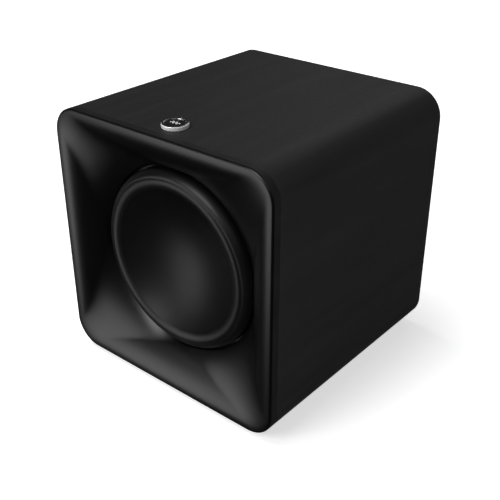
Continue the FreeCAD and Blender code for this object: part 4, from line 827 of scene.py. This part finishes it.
def makeLeads():
    # A braided lead follows one arc; its radius swells with the cosine of strands times angle plus twist
    low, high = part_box("tinsel_leads")
    endIn, braid = lead["radius"] * lead["endIn"], lead["braid"]
    start = np.array([high[0] - lead["startIn"], high[1] - lead["radius"]])
    end = np.array([low[0] + endIn, low[1] + endIn])
    bend = np.array([(start[0] + end[0]) / 2 - lead["bendShift"], high[1] - lead["bendDrop"]])
    u = np.linspace(0, 1, lead["along"])[:, None]
    path = (1 - u) ** 2 * start + 2 * u * (1 - u) * (2 * bend - (start + end) / 2) + u ** 2 * end
    tangent = np.gradient(path, axis=0)
    tangent /= np.linalg.norm(tangent, axis=1, keepdims=True)
    a = np.linspace(0, 2 * np.pi, lead["around"], endpoint=False)
    swell = 1 - braid + braid * np.cos(lead["strands"] * a + 2 * np.pi * lead["twists"] * u)
    swell *= lead["radius"] * np.clip(np.minimum(u, 1 - u) * lead["taper"], 0.001, 1)
    grids = []
    for side in (low[2] + lead["radius"], high[2] - lead["radius"]):
        x = path[:, :1] - tangent[:, 1:] * swell * np.cos(a)
        y = path[:, 1:] + tangent[:, :1] * swell * np.cos(a)
        grids.append((np.stack([x, y, side + swell * np.sin(a)], -1), False))
    piece = makePiece("tinselBraid", grids, made["copperWire"], 60)
    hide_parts("tinsel_leads")
    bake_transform(piece)


makeSpider()
makeLeads()
print("suspension made")


# CAD nodes that keep their shape get their finishes

dressed = {
    "rawMdf": ["front_baffle", "cabinet_brace"],
    "backVinyl": ["rear_board"],
    "blackNylon": ["rocker_housing", "mains_inlet", "jack_insulator", "phase_switch_body", "phase_slider",
                   "terminal_strip", "pair_switch", "pair_button", "power_rocker"],
    "sealFoam": ["throat_gasket", "flange_gasket", "amp_seal", "wire_grommet"],
    "conePaper": ["cone_body"],
    "formerFoil": ["voice_coil_former"],
    "copperWire": ["voice_coil_winding"],
    "blackSteel": ["basket", "amp_plate", "amp_cover"],
    "zincSteel": ["top_plate", "yoke", "foot_screws", "bezel_screws", "power_board_posts",
                  "control_board_posts", "control_pots"],
    "screwBlack": ["driver_screws", "amp_screws"],
    "ferriteBlock": ["magnet"],
    "tinBrass": ["terminal_tabs", "inlet_blades", "jack_contact"],
    "goldPlate": ["line_in_jack"],
    "wirePvc": ["speaker_wires"],
    "boardGreen": ["power_board", "control_board", "wireless_module"],
    "coreFerrite": ["power_transformer"],
    "canSleeve": ["capacitors", "output_transistors"],
    "sinkAluminium": ["heat_sink", "gain_shaft", "crossover_shaft"],
    "ledLens": ["status_led"],
}
for finish, nodes in dressed.items():
    for node in nodes:
        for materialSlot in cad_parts[node].material_slots:
            materialSlot.material = made[finish]
print("CAD nodes dressed:", sum(map(len, dressed.values())))


# Stage: pale floor, soft lights and the camera

studio = {"floorHalf": 12.0, "floorTone": (0.8, 0.8, 0.8), "floorRough": 0.9, "glowNear": 0.6,
          "glowFar": 0.95, "nearReach": 0.35, "farReach": 1.8, "worldTone": (1.0, 1.0, 1.0),
          "worldStrength": 0.03, "aim": (0.0, -0.15, 0.171)}
# Lamps stand around the horn's middle: turned from straight ahead, positive to +X, and raised, in degrees
lamps = {
    "highFront": {"turn": -8.0, "rise": 40.0, "away": 2.0,
                  "size": (1.1, 1.25), "power": 21.0, "mirrored": True},
    "lowFront": {"turn": -34.0, "rise": -8.0, "away": 2.0,
                 "size": (1.15, 1.8), "power": 12.5, "mirrored": True},
    "fillRight": {"turn": 55.0, "rise": 44.0, "away": 2.6,
                  "size": (2.2, 2.2), "power": 4.5, "mirrored": True},
    "backLeft": {"turn": -162.0, "rise": 36.0, "away": 2.6,
                 "size": (1.8, 1.4), "power": 4.0, "mirrored": True},
    "keyLeft": {"turn": -75.0, "rise": 74.0, "away": 2.6,
                "size": (1.7, 1.7), "power": 54.0, "mirrored": False},
    "fillSide": {"turn": 100.0, "rise": 14.0, "away": 2.6,
                 "size": (2.0, 2.0), "power": 9.0, "mirrored": False},
}
cameraRig = {"lens": 59.30, "sensor": 36.0, "azimuth": 39.899, "elevation": 28.856,
             "place": (0.60449, -0.72620, 0.64950)}


def makeFloor():
    # The floor glows a little more the further it lies from the box, so it stays pale to the horizon
    mesh = bpy.data.meshes.new("floor")
    s = studio["floorHalf"]
    mesh.from_pydata([(-s, -s, 0), (s, -s, 0), (s, s, 0), (-s, s, 0)], [], [(0, 1, 2, 3)])
    floor = bpy.data.objects.new("floor", mesh)
    bpy.context.scene.collection.objects.link(floor)
    material = bpy.data.materials.new("paleFloor")
    material.use_nodes = True
    tree = material.node_tree
    shader = tree.nodes["Principled BSDF"]
    shader.inputs["Base Color"].default_value = (*studio["floorTone"], 1.0)
    shader.inputs["Emission Color"].default_value = (1.0, 1.0, 1.0, 1.0)
    shader.inputs["Roughness"].default_value = studio["floorRough"]
    shader.inputs["Specular IOR Level"].default_value = 0.0
    place = addNode(tree, "ShaderNodeTexCoord")
    reach = addNode(tree, "ShaderNodeVectorMath", {"operation": "LENGTH"})
    glow = addNode(tree, "ShaderNodeMapRange", {"clamp": True}, {
        "From Min": studio["nearReach"], "From Max": studio["farReach"],
        "To Min": studio["glowNear"], "To Max": studio["glowFar"]})
    tree.links.new(place.outputs["Object"], reach.inputs[0])
    tree.links.new(reach.outputs["Value"], glow.inputs["Value"])
    tree.links.new(glow.outputs["Result"], shader.inputs["Emission Strength"])
    mesh.materials.append(material)
    floor.visible_glossy = False


def makeLamp(name, lamp):
    light = bpy.data.lights.new(name, "AREA")
    light.shape = "ELLIPSE"
    light.size, light.size_y = lamp["size"]
    light.energy = lamp["power"]
    holder = bpy.data.objects.new(name, light)
    turn, rise = math.radians(lamp["turn"]), math.radians(lamp["rise"])
    aim = Vector(studio["aim"])
    flat = math.cos(rise)
    outward = Vector((flat * math.sin(turn), -flat * math.cos(turn), math.sin(rise)))
    holder.location = aim + outward * lamp["away"]
    holder.rotation_euler = outward.to_track_quat("Z", "Y").to_euler()
    holder.visible_glossy = lamp["mirrored"]
    bpy.context.scene.collection.objects.link(holder)


def makeCamera():
    lens = bpy.data.cameras.new("camera")
    lens.lens, lens.sensor_width = cameraRig["lens"], cameraRig["sensor"]
    camera = bpy.data.objects.new("camera", lens)
    camera.location = cameraRig["place"]
    pitch, heading = math.radians(90 - cameraRig["elevation"]), math.radians(cameraRig["azimuth"])
    camera.rotation_euler = (pitch, 0, heading)
    bpy.context.scene.collection.objects.link(camera)
    bpy.context.scene.camera = camera


makeFloor()
for name, lamp in lamps.items():
    makeLamp(name, lamp)
makeCamera()
world = bpy.data.worlds.new("studioWorld")
world.use_nodes = True
world.node_tree.nodes["Background"].inputs["Color"].default_value = (*studio["worldTone"], 1.0)
world.node_tree.nodes["Background"].inputs["Strength"].default_value = studio["worldStrength"]
bpy.context.scene.world = world
bpy.context.scene.view_settings.view_transform = "Standard"
print("stage made")
